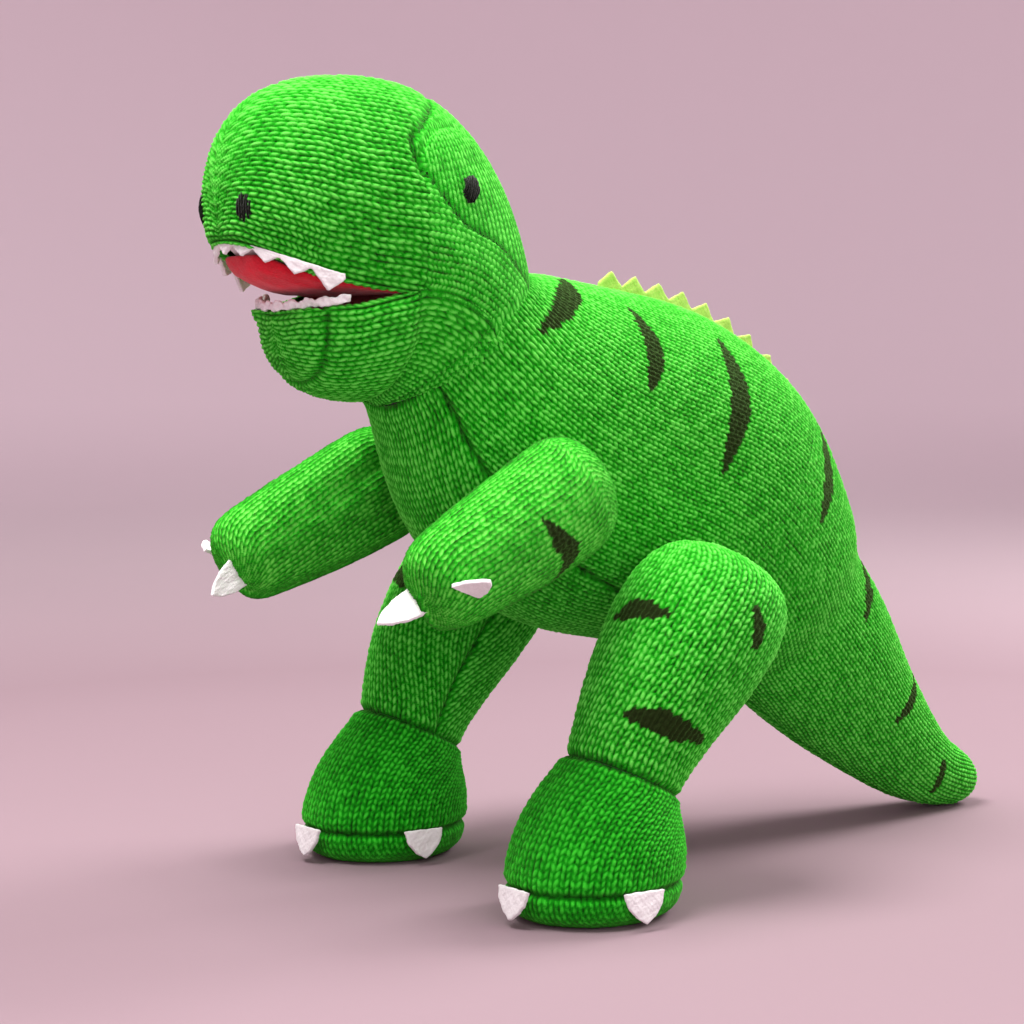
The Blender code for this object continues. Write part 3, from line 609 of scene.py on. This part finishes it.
# Dark stripes: points near the skin of the left side, and half the width at the middle.
BODY_STRIPES = [
    ([(8, 26, 202.5), (26.6, 14, 195.2), (35.4, -4.5, 184)], 4.6),
    ([(23, 42.5, 193), (35, 44.3, 178.8), (39.9, 38, 164.5)], 3.8),
    ([(25, 80.8, 183), (38, 80.1, 161.6), (41.3, 68.7, 136)], 4.9),
    ([(15, 131, 160), (33.3, 126.4, 134), (38, 118, 116)], 3.8),
    ([(14, 163, 104), (25, 160, 93), (27, 151, 78)], 3.2),
    ([(13, 191, 56), (20.1, 183.3, 47), (21.2, 173, 39)], 2.6),
    ([(12, 208, 26), (14.6, 205.8, 16.5), (10.2, 204, 7.5)], 2.0),
]


def on_surface(stripe, tree):
    """The middle line of a stripe, laid on the nearest points of a skin."""
    line, half_width = stripe
    points = along(line, np.linspace(0, len(line) - 1, 9))
    return [tuple(tree.find_nearest(Vector(point))[0]) for point in points], half_width


body_stripes = [on_surface(stripe, torso_tree) for stripe in BODY_STRIPES]
ROW_PITCH = 0.5              # between rows of points, in millimetres


def trunk_panel(v, first, last, count, reference):
    """A panel between two angles, its stitch columns counted from a reference angle."""
    grid = strip(trunk, v, first, last, count, collar)
    s = arc_lengths(grid)
    total = s[:, -1:]
    share = (reference - np.broadcast_to(first, len(v))) / np.broadcast_to(last - first, len(v))
    t = np.interp(v, side_rows, side_lengths)[:, None] + np.zeros_like(s)
    seams = np.minimum(s, total - s)
    return grid, s - total * share[:, None], t, seams


side_rows = np.linspace(0, END_ROW, 900)
side_line = trunk.sample(side_rows, np.full(900, math.pi / 2))
side_lengths = lengths_along(side_line)


def rows_between(first, last, pitch):
    """Rows of the trunk between two, evenly spaced along its side."""
    a, b = np.interp([first, last], side_rows, side_lengths)
    return np.interp(np.linspace(a, b, int((b - a) / pitch) + 1), side_lengths, side_rows)


front_rows = rows_between(NECK_ROW, MIDDLE_ROW, ROW_PITCH)
tail_rows = rows_between(MIDDLE_ROW, END_ROW, ROW_PITCH)
pieces = {}
edge = chest_edge(front_rows)
neck_seam = np.interp(front_rows, side_rows, side_lengths)
neck_seam -= side_lengths[np.searchsorted(side_rows, NECK_ROW)]
neck_seam = neck_seam[:, None] * 0.8

for side, mirror in (("left", False), ("right", True)):
    grid, s, t, seams = trunk_panel(front_rows, 0.0, math.pi - edge, 290, math.pi / 2)
    pieces[f"{side}_flank_knit"] = knit(f"{side}_flank_knit", grid, s, t, green, np.minimum(seams, neck_seam),
                                        body_stripes, seed=3 + mirror, mirror=mirror)
    grid, s, t, seams = trunk_panel(tail_rows, 0.0, math.pi, 250, math.pi / 2)
    pieces[f"{side}_tail_knit"] = knit(f"{side}_tail_knit", grid, s, t, green, seams, body_stripes,
                                       seed=5 + mirror, mirror=mirror)

grid, s, t, seams = trunk_panel(front_rows, math.pi - edge, math.pi + edge, 150, math.pi)
pieces["chest_knit"] = knit("chest_knit", grid, s, t, green, np.minimum(seams, neck_seam), seed=7)

# ---- head
PIVOT = np.array([0.0, -48.0, 154.7])    # the planes of the back of the head turn about this line
NECK_LEAN = 48.5
LIP_LINE = [(-48, 197.2), (-62, 199.4), (-78, 203.2), (-90, 207.6), (-104, 214)]
JAW_LINE = [(-48, 196.2), (-56, 194.2), (-66, 191.7), (-75, 189.4), (-83, 188.0)]
NOSE_Y, CHIN_Y = -79.0, -66.0


def head_spine(line, nose_y):
    """Rings from the front of the mouth back to the neck, with the mouth at their sides."""
    rows = []
    places, heights = zip(*reversed(line))
    for y in np.linspace(nose_y, -48.0, 5):
        rows.append((0.0, y, float(np.interp(y, places, heights)), 0.0))
    for lean in np.linspace(0.0, NECK_LEAN + 4.0, 9)[1:]:
        r = 42.0 - lean / NECK_LEAN
        a = math.radians(lean)
        rows.append((0.0, PIVOT[1] + r * math.sin(a), PIVOT[2] + r * math.cos(a), lean))
    return rows


head_tree = tree_of("snout_skin", "head_back_skin", "left_flank", "right_flank", "chest_panel")
snout_axis = np.array([0.0, -26.0, 10.8])
snout_axis /= np.linalg.norm(snout_axis)
head = Body(head_tree, head_spine(LIP_LINE, NOSE_Y), caps=(snout_axis, None), reach=84.0, rows=40,
            angle_count=96, rounds=1)
jaw_tree = tree_of("jaw_skin", "snout_skin", "left_flank", "right_flank", "chest_panel")
chin_axis = np.array([0.0, -17.0, -1.4])
chin_axis /= np.linalg.norm(chin_axis)
jaw = Body(jaw_tree, head_spine(JAW_LINE, CHIN_Y), caps=(chin_axis, None), reach=84.0, rows=36,
           angle_count=96, rounds=3)
HEAD_MIDDLE = np.array([0.0, -60.0, 215.0])
NECK_MIDDLE = np.array([0.0, -15.0, 184.0])
NECK_FORWARD = np.array([0.0, -0.66262, 0.74896])
HEAD_SCALE = WALE / 3.9
SEAM_LAP = 0.35              # how far the two panels of the head lap at their seam
EYE_PLACE = (-31.0, 235.5)
LIP_ROLL = 0.9               # radius of the rolled edge of a lip
LIP_POINTS = 7               # points across that edge
SEAM_LINE = [(10, 186), (0, 195), (-18, 212), (-35, 221), (-49, 241), (-42, 251), (-29, 260.5), (-25, 270)]


def under_collar(grid):
    """How far the head draws in under the edge of the neck."""
    ahead = (grid - NECK_MIDDLE) @ NECK_FORWARD
    rise = COLLAR_RISE * np.clip(np.abs(grid[..., 0]) / 35.0, 0, 1) ** 1.5
    at_throat = 1.4 * smooth_step(-np.abs(grid[..., 0]), -26.0, -14.0)
    return -2.4 * smooth_step(rise + 0.4 + at_throat - ahead, 0.0, 2.6)


def seam_on_head(grid):
    """Distance to the seam of the back gusset, and whether a point lies behind it."""
    fine = along(SEAM_LINE, np.linspace(0, len(SEAM_LINE) - 1, 90))
    flat = grid.reshape(-1, 3)[:, 1:]
    gap = np.min(np.linalg.norm(flat[:, None] - fine[None], axis=-1), axis=1)
    order = np.argsort(fine[:, 1])
    line = np.interp(flat[:, 1], fine[order, 1], fine[order, 0])
    behind = flat[:, 0] > line
    return gap.reshape(grid.shape[:-1]), behind.reshape(grid.shape[:-1])


def eye_lobe(grid):
    """The swelling round the eye and the crease over it."""
    dy, dz = (grid[..., 1] - EYE_PLACE[0]) / 16.0, (grid[..., 2] - EYE_PLACE[1]) / 14.0
    e = np.hypot(dy, dz)
    at_side = smooth_step(np.abs(grid[..., 0]), 12.0, 22.0)
    swell = 2.6 * np.sqrt(np.clip(1 - e ** 2, 0, 1))
    over = smooth_step(dz - 0.35 * dy, -0.15, 0.35)
    crease = -1.3 * np.exp(-((e - 1.02) / 0.085) ** 2) * over
    return at_side * (swell * (0.35 + 0.65 * over) + crease)


def mouth_edge(s_side, v, corner_row):
    """Distance to the open edge along the mouth; large behind its corner."""
    return np.abs(s_side) + 9.0 * smooth_step(v, corner_row - 1.0, corner_row + 1.5)[:, None]


def rolled(grid, v, corner, lift, mouth_y):
    """Adds a lip at both sides of a grid, rolled into the mouth in front of its corner."""
    fade = 1 - smooth_step(v, corner - 1.0, corner + 0.5)
    sides = []
    for first, second in ((0, 1), (-1, -2)):
        edge = grid[:, first]
        inward = np.array([0.0, mouth_y, 0.0]) - edge
        inward[:, 1] = np.where(edge[:, 1] < mouth_y, inward[:, 1], 0.0)
        inward[:, 2] = 0.0
        inward /= np.maximum(np.linalg.norm(inward, axis=1, keepdims=True), 1e-9)
        added = []
        for k in range(1, LIP_POINTS + 1):
            a = min(k / 4.0, 1.0) * math.pi / 2
            step = inward * (LIP_ROLL * (1 - math.cos(a)) + max(0, k - 4) * 1.1)
            step = step - np.array([0, 0, lift]) * math.sin(a) * LIP_ROLL
            added.append(edge + step * fade[:, None])
        sides.append(np.stack(added, axis=1))
    return np.concatenate([sides[0][:, ::-1], grid, sides[1]], axis=1)


def from_lips(grid):
    """Distance of every point from the two edges of a grid as it was before rolled()."""
    s = arc_lengths(grid)
    first, last = s[:, LIP_POINTS, None], s[:, -1 - LIP_POINTS, None]
    return np.minimum(s - first, last - s)


def corner_row_of(body):
    """The row at which the rings start to turn, at the corner of the mouth."""
    return float(np.flatnonzero((body.entries[:, 5] == 0) & (body.entries[:, 3] < 0.5))[-1])


# The upper head: from the nose over the top and back to the neck.
BACK_CENTRE = (-47.0, 205.0)             # the columns of the back gusset run round this point
v = even_rows(head, 0.0, len(head.entries) - 1.0, 0.6, angle=0.35)
corner = corner_row_of(head)
grid = rolled(strip(head, v, -math.pi / 2, math.pi / 2, 330), v, corner, 1.0, -78.0)
s_side = from_lips(grid)
t = lengths_along(grid[:, 90])[:, None] + np.zeros_like(s_side)
t -= np.interp(corner, v, t[:, 0])
gap, behind = seam_on_head(grid)
lip = mouth_edge(s_side, v, corner)
seams = np.minimum(gap, lip * 1.3 + 0.3)
azimuth = np.arctan2(np.abs(grid[..., 0]), grid[..., 1] - BACK_CENTRE[0])
polar = np.arctan2(np.hypot(grid[..., 0], grid[..., 1] - BACK_CENTRE[0]), grid[..., 2] - BACK_CENTRE[1])
s_back, t_back = azimuth * 37.0, polar * 52.0
drop = under_collar(grid) + eye_lobe(grid)
pieces["snout_knit"] = knit("snout_knit", grid, s_side * HEAD_SCALE, t * HEAD_SCALE, green, seams, seed=11,
                            relief=1.05, keep=~behind | (gap < SEAM_LAP), bulge=drop, lump=0.45)
pieces["head_back_knit"] = knit("head_back_knit", grid, s_back, t_back, green, seams, seed=12,
                                relief=0.9, keep=behind | (gap < SEAM_LAP), bulge=drop, lump=0.45)

# The jaw and throat.
v = even_rows(jaw, 0.0, len(jaw.entries) - 1.0, 0.5, angle=math.radians(112))
corner = corner_row_of(jaw)
grid = rolled(strip(jaw, v, math.radians(88), math.radians(272), 230), v, corner, -1.0, -64.0)
s_side = from_lips(grid)
t = lengths_along(grid[:, 40])[:, None] + np.zeros_like(s_side)
t -= np.interp(corner, v, t[:, 0])
lip = mouth_edge(s_side, v, corner)
tuck = np.where(v[:, None] < corner, 0.0, -0.8 * (1 - smooth_step(s_side, 0.4, 2.2)))
chin_seam = np.abs(grid[..., 1] + 74.5 + 0.12 * (grid[..., 2] - 180.0))
seams = np.minimum(lip * 1.3 + 0.3, chin_seam + 0.35)
pieces["jaw_knit"] = knit("jaw_knit", grid, -s_side * HEAD_SCALE, t * HEAD_SCALE, green, seams, seed=13,
                          relief=0.9, bulge=under_collar(grid) + tuck, lump=0.4)

# ---- arms and legs
ARM_STRIPE = ([(70, -31.5, 129), (71.5, -23.5, 121.5), (68.5, -17, 115.5), (64, -19, 106)], 3.7)
LEG_STRIPES = [([(57, 9, 94), (66.5, 11.5, 97.5), (76.5, 16, 96)], 3.6),
               ([(72, 0, 66.5), (80.5, 10.5, 62.5), (81, 28, 55)], 4.2),
               ([(86.6, 42, 99), (87.2, 44.5, 91), (86.6, 41.5, 83)], 2.8)]
LIMB_SCALE = WALE / 3.7
arm_tree, leg_tree = tree_of("left_arm_skin"), tree_of("left_leg_skin")
foot_tree = tree_of("left_foot_skin", "left_leg_skin", "left_sole")
sole_tree = tree_of("left_sole", "left_foot_skin")
arm = Body(arm_tree, ARM, caps=((0.0, 0.91, 0.41), (0.0, -0.91, -0.41)), reach=42.0, rows=22, angle_count=60,
           rounds=1)
leg = Body(leg_tree, LEG, caps=((0.0, 0.537, 0.843), None), reach=60.0, rows=26, angle_count=60, rounds=1)
foot = Body(foot_tree, FOOT, reach=60.0, rows=14, angle_count=60, rounds=1)
sole = Body(sole_tree, [(59.5, -1, 11.2, 90), (59.5, -1, 9.4, 90)], caps=(None, (0.0, 0.0, -1.0)),
            reach=45.0, rows=3, angle_count=60, rounds=0)
arm_stripe = on_surface(ARM_STRIPE, arm_tree)
leg_stripes = [on_surface(stripe, leg_tree) for stripe in LEG_STRIPES]


def tube(name, body, pitch, count, start_angle, material, stripes=(), seed=1, mirror=False, seam_ends=(0, 0),
         relief=RELIEF, long_angle=math.pi / 2, side_seam=True):
    """A limb's skin in one piece, closed along a seam at its start angle."""
    v = even_rows(body, 0.0, len(body.entries) - 1.0, pitch, angle=long_angle)
    grid = strip(body, v, start_angle, start_angle + 2 * math.pi, count)
    s = arc_lengths(grid)
    t = lengths_along(grid[:, count // 2])[:, None] + np.zeros_like(s)
    seams = np.minimum(s, s[:, -1:] - s) + 0.2 if side_seam else np.full(s.shape, NO_SEAM)
    s = s - s[:, -1:] / 2
    if seam_ends[0]:
        seams = np.minimum(seams, t)
    if seam_ends[1]:
        seams = np.minimum(seams, t[-1:] - t)
    return knit(name, grid, s * LIMB_SCALE, t * LIMB_SCALE, material, seams, stripes, seed=seed,
                mirror=mirror, relief=relief, wrap=True)


for side, mirror in (("left", False), ("right", True)):
    for part, body, pitch, count, start_angle, material, stripes, seed, options in (
        ("arm", arm, 0.5, 250, 1.05, light_green, [arm_stripe], 21, {"relief": 0.92}),
        ("leg", leg, 0.5, 320, 1.5, green, leg_stripes, 31, {"relief": 0.92, "seam_ends": (0, 1)}),
        ("foot", foot, 0.45, 330, 0.02, deep_green, (), 41,
         {"relief": 0.85, "seam_ends": (1, 1), "long_angle": math.pi}),
        ("sole", sole, 0.5, 300, 0.0, deep_green, (), 51,
         {"relief": 0.3, "seam_ends": (1, 0), "side_seam": False}),
    ):
        name = f"{side}_{part}_knit"
        pieces[name] = tube(name, body, pitch, count, math.pi * start_angle, material, stripes,
                            seed=seed + mirror, mirror=mirror, **options)

# ---- felt, thread and filling
def softened(node, name, material, voxel, rough, smooth):
    """A cut or filled piece, remade from its solid with soft edges and an uneven surface.

    rough is the size and depth of the unevenness, in millimetres.
    """
    mesh = frame["nodes"][node].data.copy()
    source = bpy.data.objects.new(name, mesh)
    bpy.context.scene.collection.objects.link(source)
    remesh = source.modifiers.new("remesh", "REMESH")
    remesh.mode = "VOXEL"
    remesh.voxel_size = voxel * MM
    soft = source.modifiers.new("smooth", "SMOOTH")
    soft.factor, soft.iterations = 0.5, smooth
    evaluated = source.evaluated_get(bpy.context.evaluated_depsgraph_get())
    made = bpy.data.meshes.new_from_object(evaluated)
    source.modifiers.clear()
    source.data = made
    bpy.data.meshes.remove(mesh)
    count = len(made.vertices)
    points, normal = np.zeros(count * 3), np.zeros(count * 3)
    made.vertices.foreach_get("co", points)
    made.vertices.foreach_get("normal", normal)
    points, normal = points.reshape(-1, 3), normal.reshape(-1, 3)
    wander = unevenness(points / MM, rough[0], 1) + 0.6 * unevenness(points / MM, rough[0] * 0.37, 6)
    made.vertices.foreach_set("co", (points + normal * (wander * rough[1] * MM)[:, None]).ravel())
    made.polygons.foreach_set("use_smooth", np.ones(len(made.polygons), bool))
    made.update()
    made.materials.clear()
    made.materials.append(material)
    return source


def fit(piece, body, node):
    """A piece that goes with one body, in place of a node."""
    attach(piece, body)
    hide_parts(node)
    return piece


FELT_THICKNESS = 1.4 * MM
FELT = (1.1, 0.16)
back_spikes = softened("back_spikes", "back_spikes_felt", lime, 0.4, FELT, 2)
fit(back_spikes, "torso", "back_spikes")


def reshape(piece, change):
    """Moves a piece's points, given and returned in millimetres of the CAD frame."""
    count = len(piece.data.vertices)
    points = np.zeros(count * 3)
    piece.data.vertices.foreach_get("co", points)
    points = points.reshape(-1, 3) / MM - np.array([0.0, SHIFT, 0.0])
    piece.data.vertices.foreach_set("co", at(change(points)).ravel())
    piece.data.update()
    return piece


def upper_strip(p):
    """Up against the lip, and short round the front."""
    x, y, z = p.T
    lip = np.interp(-y, [-place for place, _ in LIP_LINE], [height for _, height in LIP_LINE])
    keep = 1.0 - 0.5 * smooth_step(-y, 66.0, 96.0)
    return np.stack([x * 1.06, y - 1.2 * smooth_step(-y, 70, 95), lip - (lip - z) * keep + 1.8], -1)


def lower_strip(p):
    """Up on the lip of the jaw, with a bump at either end."""
    x, y, z = p.T
    bump = 1.6 * np.exp(-((y + 62.0) / 3.2) ** 2)
    return np.stack([x * 1.05, y - 1.2 * smooth_step(-y, 60, 78), z + 2.3 + bump], -1)


upper_teeth = reshape(softened("upper_teeth", "upper_teeth_felt", white, 0.38, FELT, 2), upper_strip)
fit(upper_teeth, "head", "upper_teeth")
lower_teeth = reshape(softened("lower_teeth", "lower_teeth_felt", white, 0.38, (1.7, 0.55), 3), lower_strip)
fit(lower_teeth, "jaw", "lower_teeth")


def out_to_lips(p):
    """Out to the lips that the lining is sewn to."""
    return p * np.array([1.1, 1.0, 1.0])


def up_the_back(p):
    """Out to the lips, and up at the back of the mouth to meet the roof."""
    wider = 1.03 + 0.09 * smooth_step(-p[:, 1], 54.0, 64.0)
    rise = 7.5 * smooth_step(p[:, 1], -53.5, -49.0)
    return np.stack([p[:, 0] * wider, p[:, 1], p[:, 2] + rise], -1)


palate = reshape(softened("palate_lining", "palate_felt", red, 0.5, (6.0, 0.3), 3), out_to_lips)
fit(palate, "head", "palate_lining")
mouth_floor = softened("mouth_floor_lining", "mouth_floor_felt", dark_red, 0.5, (6.0, 0.3), 2)
reshape(mouth_floor, up_the_back)
fit(mouth_floor, "jaw", "mouth_floor_lining")


def felt_sheet(node, width, length):
    """Works out a piece of felt's own flat area from its volume, held between a share of the rectangle it was
    cut from and the whole of it; the area is not kept.
    """
    mesh = bmesh.new()
    mesh.from_mesh(frame["nodes"][node].data)
    area = abs(mesh.calc_volume()) / FELT_THICKNESS
    mesh.free()
    area = min(max(area, 0.3 * width * length), width * length)


felt_sheet("back_spikes", 0.010, 0.158)
felt_sheet("upper_teeth", 0.010, 0.094)
felt_sheet("mouth_floor_lining", 0.048, 0.028)


def sewn_in(p):
    """A claw at the end of a hand, with its root drawn into the knitting."""
    return p + np.array([0.0, 3.2, 1.7])


FAR_CLAW_WAY = np.array([4.5, -14.0, -7.5]) / np.linalg.norm([4.5, -14.0, -7.5])


def broadside(p):
    """The far hand's claw turned about its own length, so that its face shows from the front left."""
    middle, turn = p.mean(axis=0), math.radians(60.0)
    out = p - middle
    straight = (out @ FAR_CLAW_WAY)[:, None] * FAR_CLAW_WAY
    return (middle + straight + (out - straight) * math.cos(turn)
            + np.cross(FAR_CLAW_WAY, out) * math.sin(turn))


CLAW_CUTS = {"hand_inner": (0.011, 0.0165), "hand_outer": (0.011, 0.0118), "toe_inner": (0.015, 0.0102),
             "toe_middle": (0.015, 0.0102), "toe_outer": (0.015, 0.0102)}
for side in ("left", "right"):
    for claw, (width, length) in CLAW_CUTS.items():
        limb, knit_end = ("arm", "arm") if claw.startswith("hand") else ("leg", "foot")
        node = f"{side}_{claw}_claw"
        piece = softened(node, f"{node}_felt", white, 0.32, FELT, 4)
        if claw == "hand_inner":
            reshape(piece, sewn_in)
        if node == "right_hand_inner_claw":
            reshape(piece, broadside)
        fit(piece, f"{side}_{limb}", node)
        felt_sheet(node, width, length)

for body in ("torso", "head", "jaw", "tail", "left_arm", "right_arm", "left_leg", "right_leg"):
    node = f"{body}_stuffing"
    filling = fit(softened(node, f"{node}_fibre", fibrefill, 2.2, (9.0, 0.5), 6), body, node)


def axes_of(node):
    """Middle of a thin oval node, its long and short directions, its outward normal and half sizes."""
    points = place_of(node)
    middle = points.mean(axis=0)
    _, _, axes = np.linalg.svd(points - middle, full_matrices=False)
    spread = [np.abs((points - middle) @ axis).max() for axis in axes]
    normal = axes[2] * (1.0 if axes[2] @ (middle - HEAD_MIDDLE) > 0 else -1.0)
    return middle, axes[0], axes[1], normal, spread


def embroidery(node, name, body, strands, seed, drop):
    """Satin stitch in black thread over the oval of a node."""
    middle, long_way, short_way, normal, spread = axes_of(node)
    random = np.random.default_rng(seed)
    points, faces = [], []
    segments, around, radius = 9, 6, 0.42
    for layer in range(2):
        for k in range(strands):
            x = (k + 0.5) / strands * 2 - 1
            reach = math.sqrt(max(0.0, 1 - (x * 0.96) ** 2)) * spread[0] * random.uniform(0.92, 1.12)
            lean = random.uniform(-0.35, 0.35)
            start = len(points)
            for i in range(segments):
                u = i / (segments - 1) * 2 - 1
                arch = (1 - abs(u) ** 2.4) * 0.9 + 0.35 * layer - drop
                across = x * spread[1] * 0.92 + lean * u + random.uniform(-0.06, 0.06)
                centre = middle + long_way * (u * reach) + short_way * across + normal * arch
                for j in range(around):
                    a = 2 * math.pi * j / around + u * 2.5
                    points.append(centre + (short_way * math.cos(a) + normal * math.sin(a)) * radius)
            for i in range(segments - 1):
                for j in range(around):
                    a, b = start + i * around + j, start + i * around + (j + 1) % around
                    faces.append((a, b, b + around, a + around))
            end = start + (segments - 1) * around
            for a, b, c in ((3, 2, 1), (5, 4, 3)):
                faces.append((start + a, start + b, start + c, start))
                faces.append((end, end + c, end + b, end + a))
    made = new_object(name, np.array(points), np.array(faces))
    made.data.materials.append(black)
    return fit(made, body, node)


for k, node in enumerate(("left_eye", "right_eye", "left_nostril", "right_nostril")):
    strands, drop = (8, 0.8) if "eye" in node else (6, 1.7)
    embroidery(node, f"{node}_thread", "head", strands, 60 + k, drop)


def skin(node):
    """Hides the frame's node of a stuffed panel that the knitting stands in for."""
    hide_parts(node)


for side in ("left", "right"):
    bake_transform(pieces[f"{side}_flank_knit"])
    skin(f"{side}_flank")
    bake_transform(pieces[f"{side}_tail_knit"])
    skin("tail_skin")
    for part, body, slot, node, fill in (
        ("arm", "arm", "light_green_knit", "arm_skin", 0.8), ("leg", "leg", "green_knit", "leg_skin", 0.8),
        ("foot", "leg", "deep_green_knit", "foot_skin", 0.8), ("sole", "leg", "deep_green_knit", "sole", 0.7),
    ):
        piece = fit(pieces[f"{side}_{part}_knit"], f"{side}_{body}", f"{side}_{node}")
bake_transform(pieces["chest_knit"])
skin("chest_panel")
for part in ("snout", "head_back"):
    fit(pieces[f"{part}_knit"], "head", f"{part}_skin")
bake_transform(pieces["jaw_knit"])
skin("jaw_skin")

# ---- floor and light
PROFILE = [(0.0, 0.0), (0.6, 0.0), (1.2, 0.0), (1.8, 0.0), (2.3, 0.05), (2.65, 0.22), (2.9, 0.55), (3.0, 1.1),
           (3.0, 2.2)]       # radius and height of the round backdrop, in metres
count = 64
floor_points, floor_faces = [], []
for radius, height in along(PROFILE, np.linspace(0, len(PROFILE) - 1, 41)):
    radius = max(radius, 0.0005)
    for i in range(count):
        a = 2 * math.pi * i / count
        floor_points.append((radius * math.cos(a), radius * math.sin(a), max(height, 0.0)))
for k in range(40):
    for i in range(count):
        a, b = k * count + i, k * count + (i + 1) % count
        floor_faces.append((a, b, b + count, a + count))
floor_mesh = bpy.data.meshes.new("floor")
floor_mesh.from_pydata(floor_points, [], floor_faces)
floor_mesh.polygons.foreach_set("use_smooth", np.ones(len(floor_mesh.polygons), bool))
floor = bpy.data.objects.new("floor", floor_mesh)
bpy.context.scene.collection.objects.link(floor)
paper = Shader("floor_paper")
place = paper.node("ShaderNodeTexCoord").outputs["Object"]
reach = paper.node("ShaderNodeVectorMath", {0: place}, operation="LENGTH").outputs["Value"]
# Painted shade: the floor is coloured darker within half a metre of the middle and pales out to the
# backdrop's colour by 2.4 m.
near = paper.mix(paper.noise(3.0, 2.0, 0.5), colour(146, 124, 132), colour(151, 129, 137))
share = paper.node("ShaderNodeMapRange", {"Value": reach, "From Min": 0.5, "From Max": 2.4}).outputs["Result"]
tint = paper.mix(share, near, colour(236, 218, 226))
paper.surface({"Base Color": tint, "Roughness": 0.95, "Specular IOR Level": 0.1})
paper.bump(paper.noise(900.0), 0.1, 0.0003)
floor_mesh.materials.append(paper.material)

world = bpy.data.worlds.new("studio")
world.use_nodes = True
world.node_tree.nodes["Background"].inputs["Color"].default_value = colour(236, 226, 230)
world.node_tree.nodes["Background"].inputs["Strength"].default_value = 0.74
bpy.context.scene.world = world


def softbox(name, position, size, power, tint=(1.0, 1.0, 1.0)):
    """A round light, aimed at the middle of the animal."""
    light = bpy.data.lights.new(name, "AREA")
    light.shape = "DISK"
    light.size = size
    light.energy = power
    light.color = tint
    holder = bpy.data.objects.new(name, light)
    bpy.context.scene.collection.objects.link(holder)
    holder.location = position
    holder.rotation_mode = "QUATERNION"
    holder.rotation_quaternion = (Vector((0, -0.04, 0.12)) - Vector(position)).to_track_quat("-Z", "Y")


right = Vector((math.cos(AZIMUTH), math.sin(AZIMUTH), 0.0))
front = Vector((math.sin(AZIMUTH), -math.cos(AZIMUTH), 0.0))
softbox("key", right * -0.35 + front * 0.25 + Vector((0, 0, 1.15)), 0.7, 21.0, (1.0, 0.98, 0.96))
softbox("rim", right * 0.9 + front * -0.55 + Vector((0, 0, 0.85)), 0.6, 17.0, (1.0, 0.99, 0.96))
softbox("fill", right * 0.3 + front * 1.4 + Vector((0, 0, 0.55)), 0.9, 5.0)
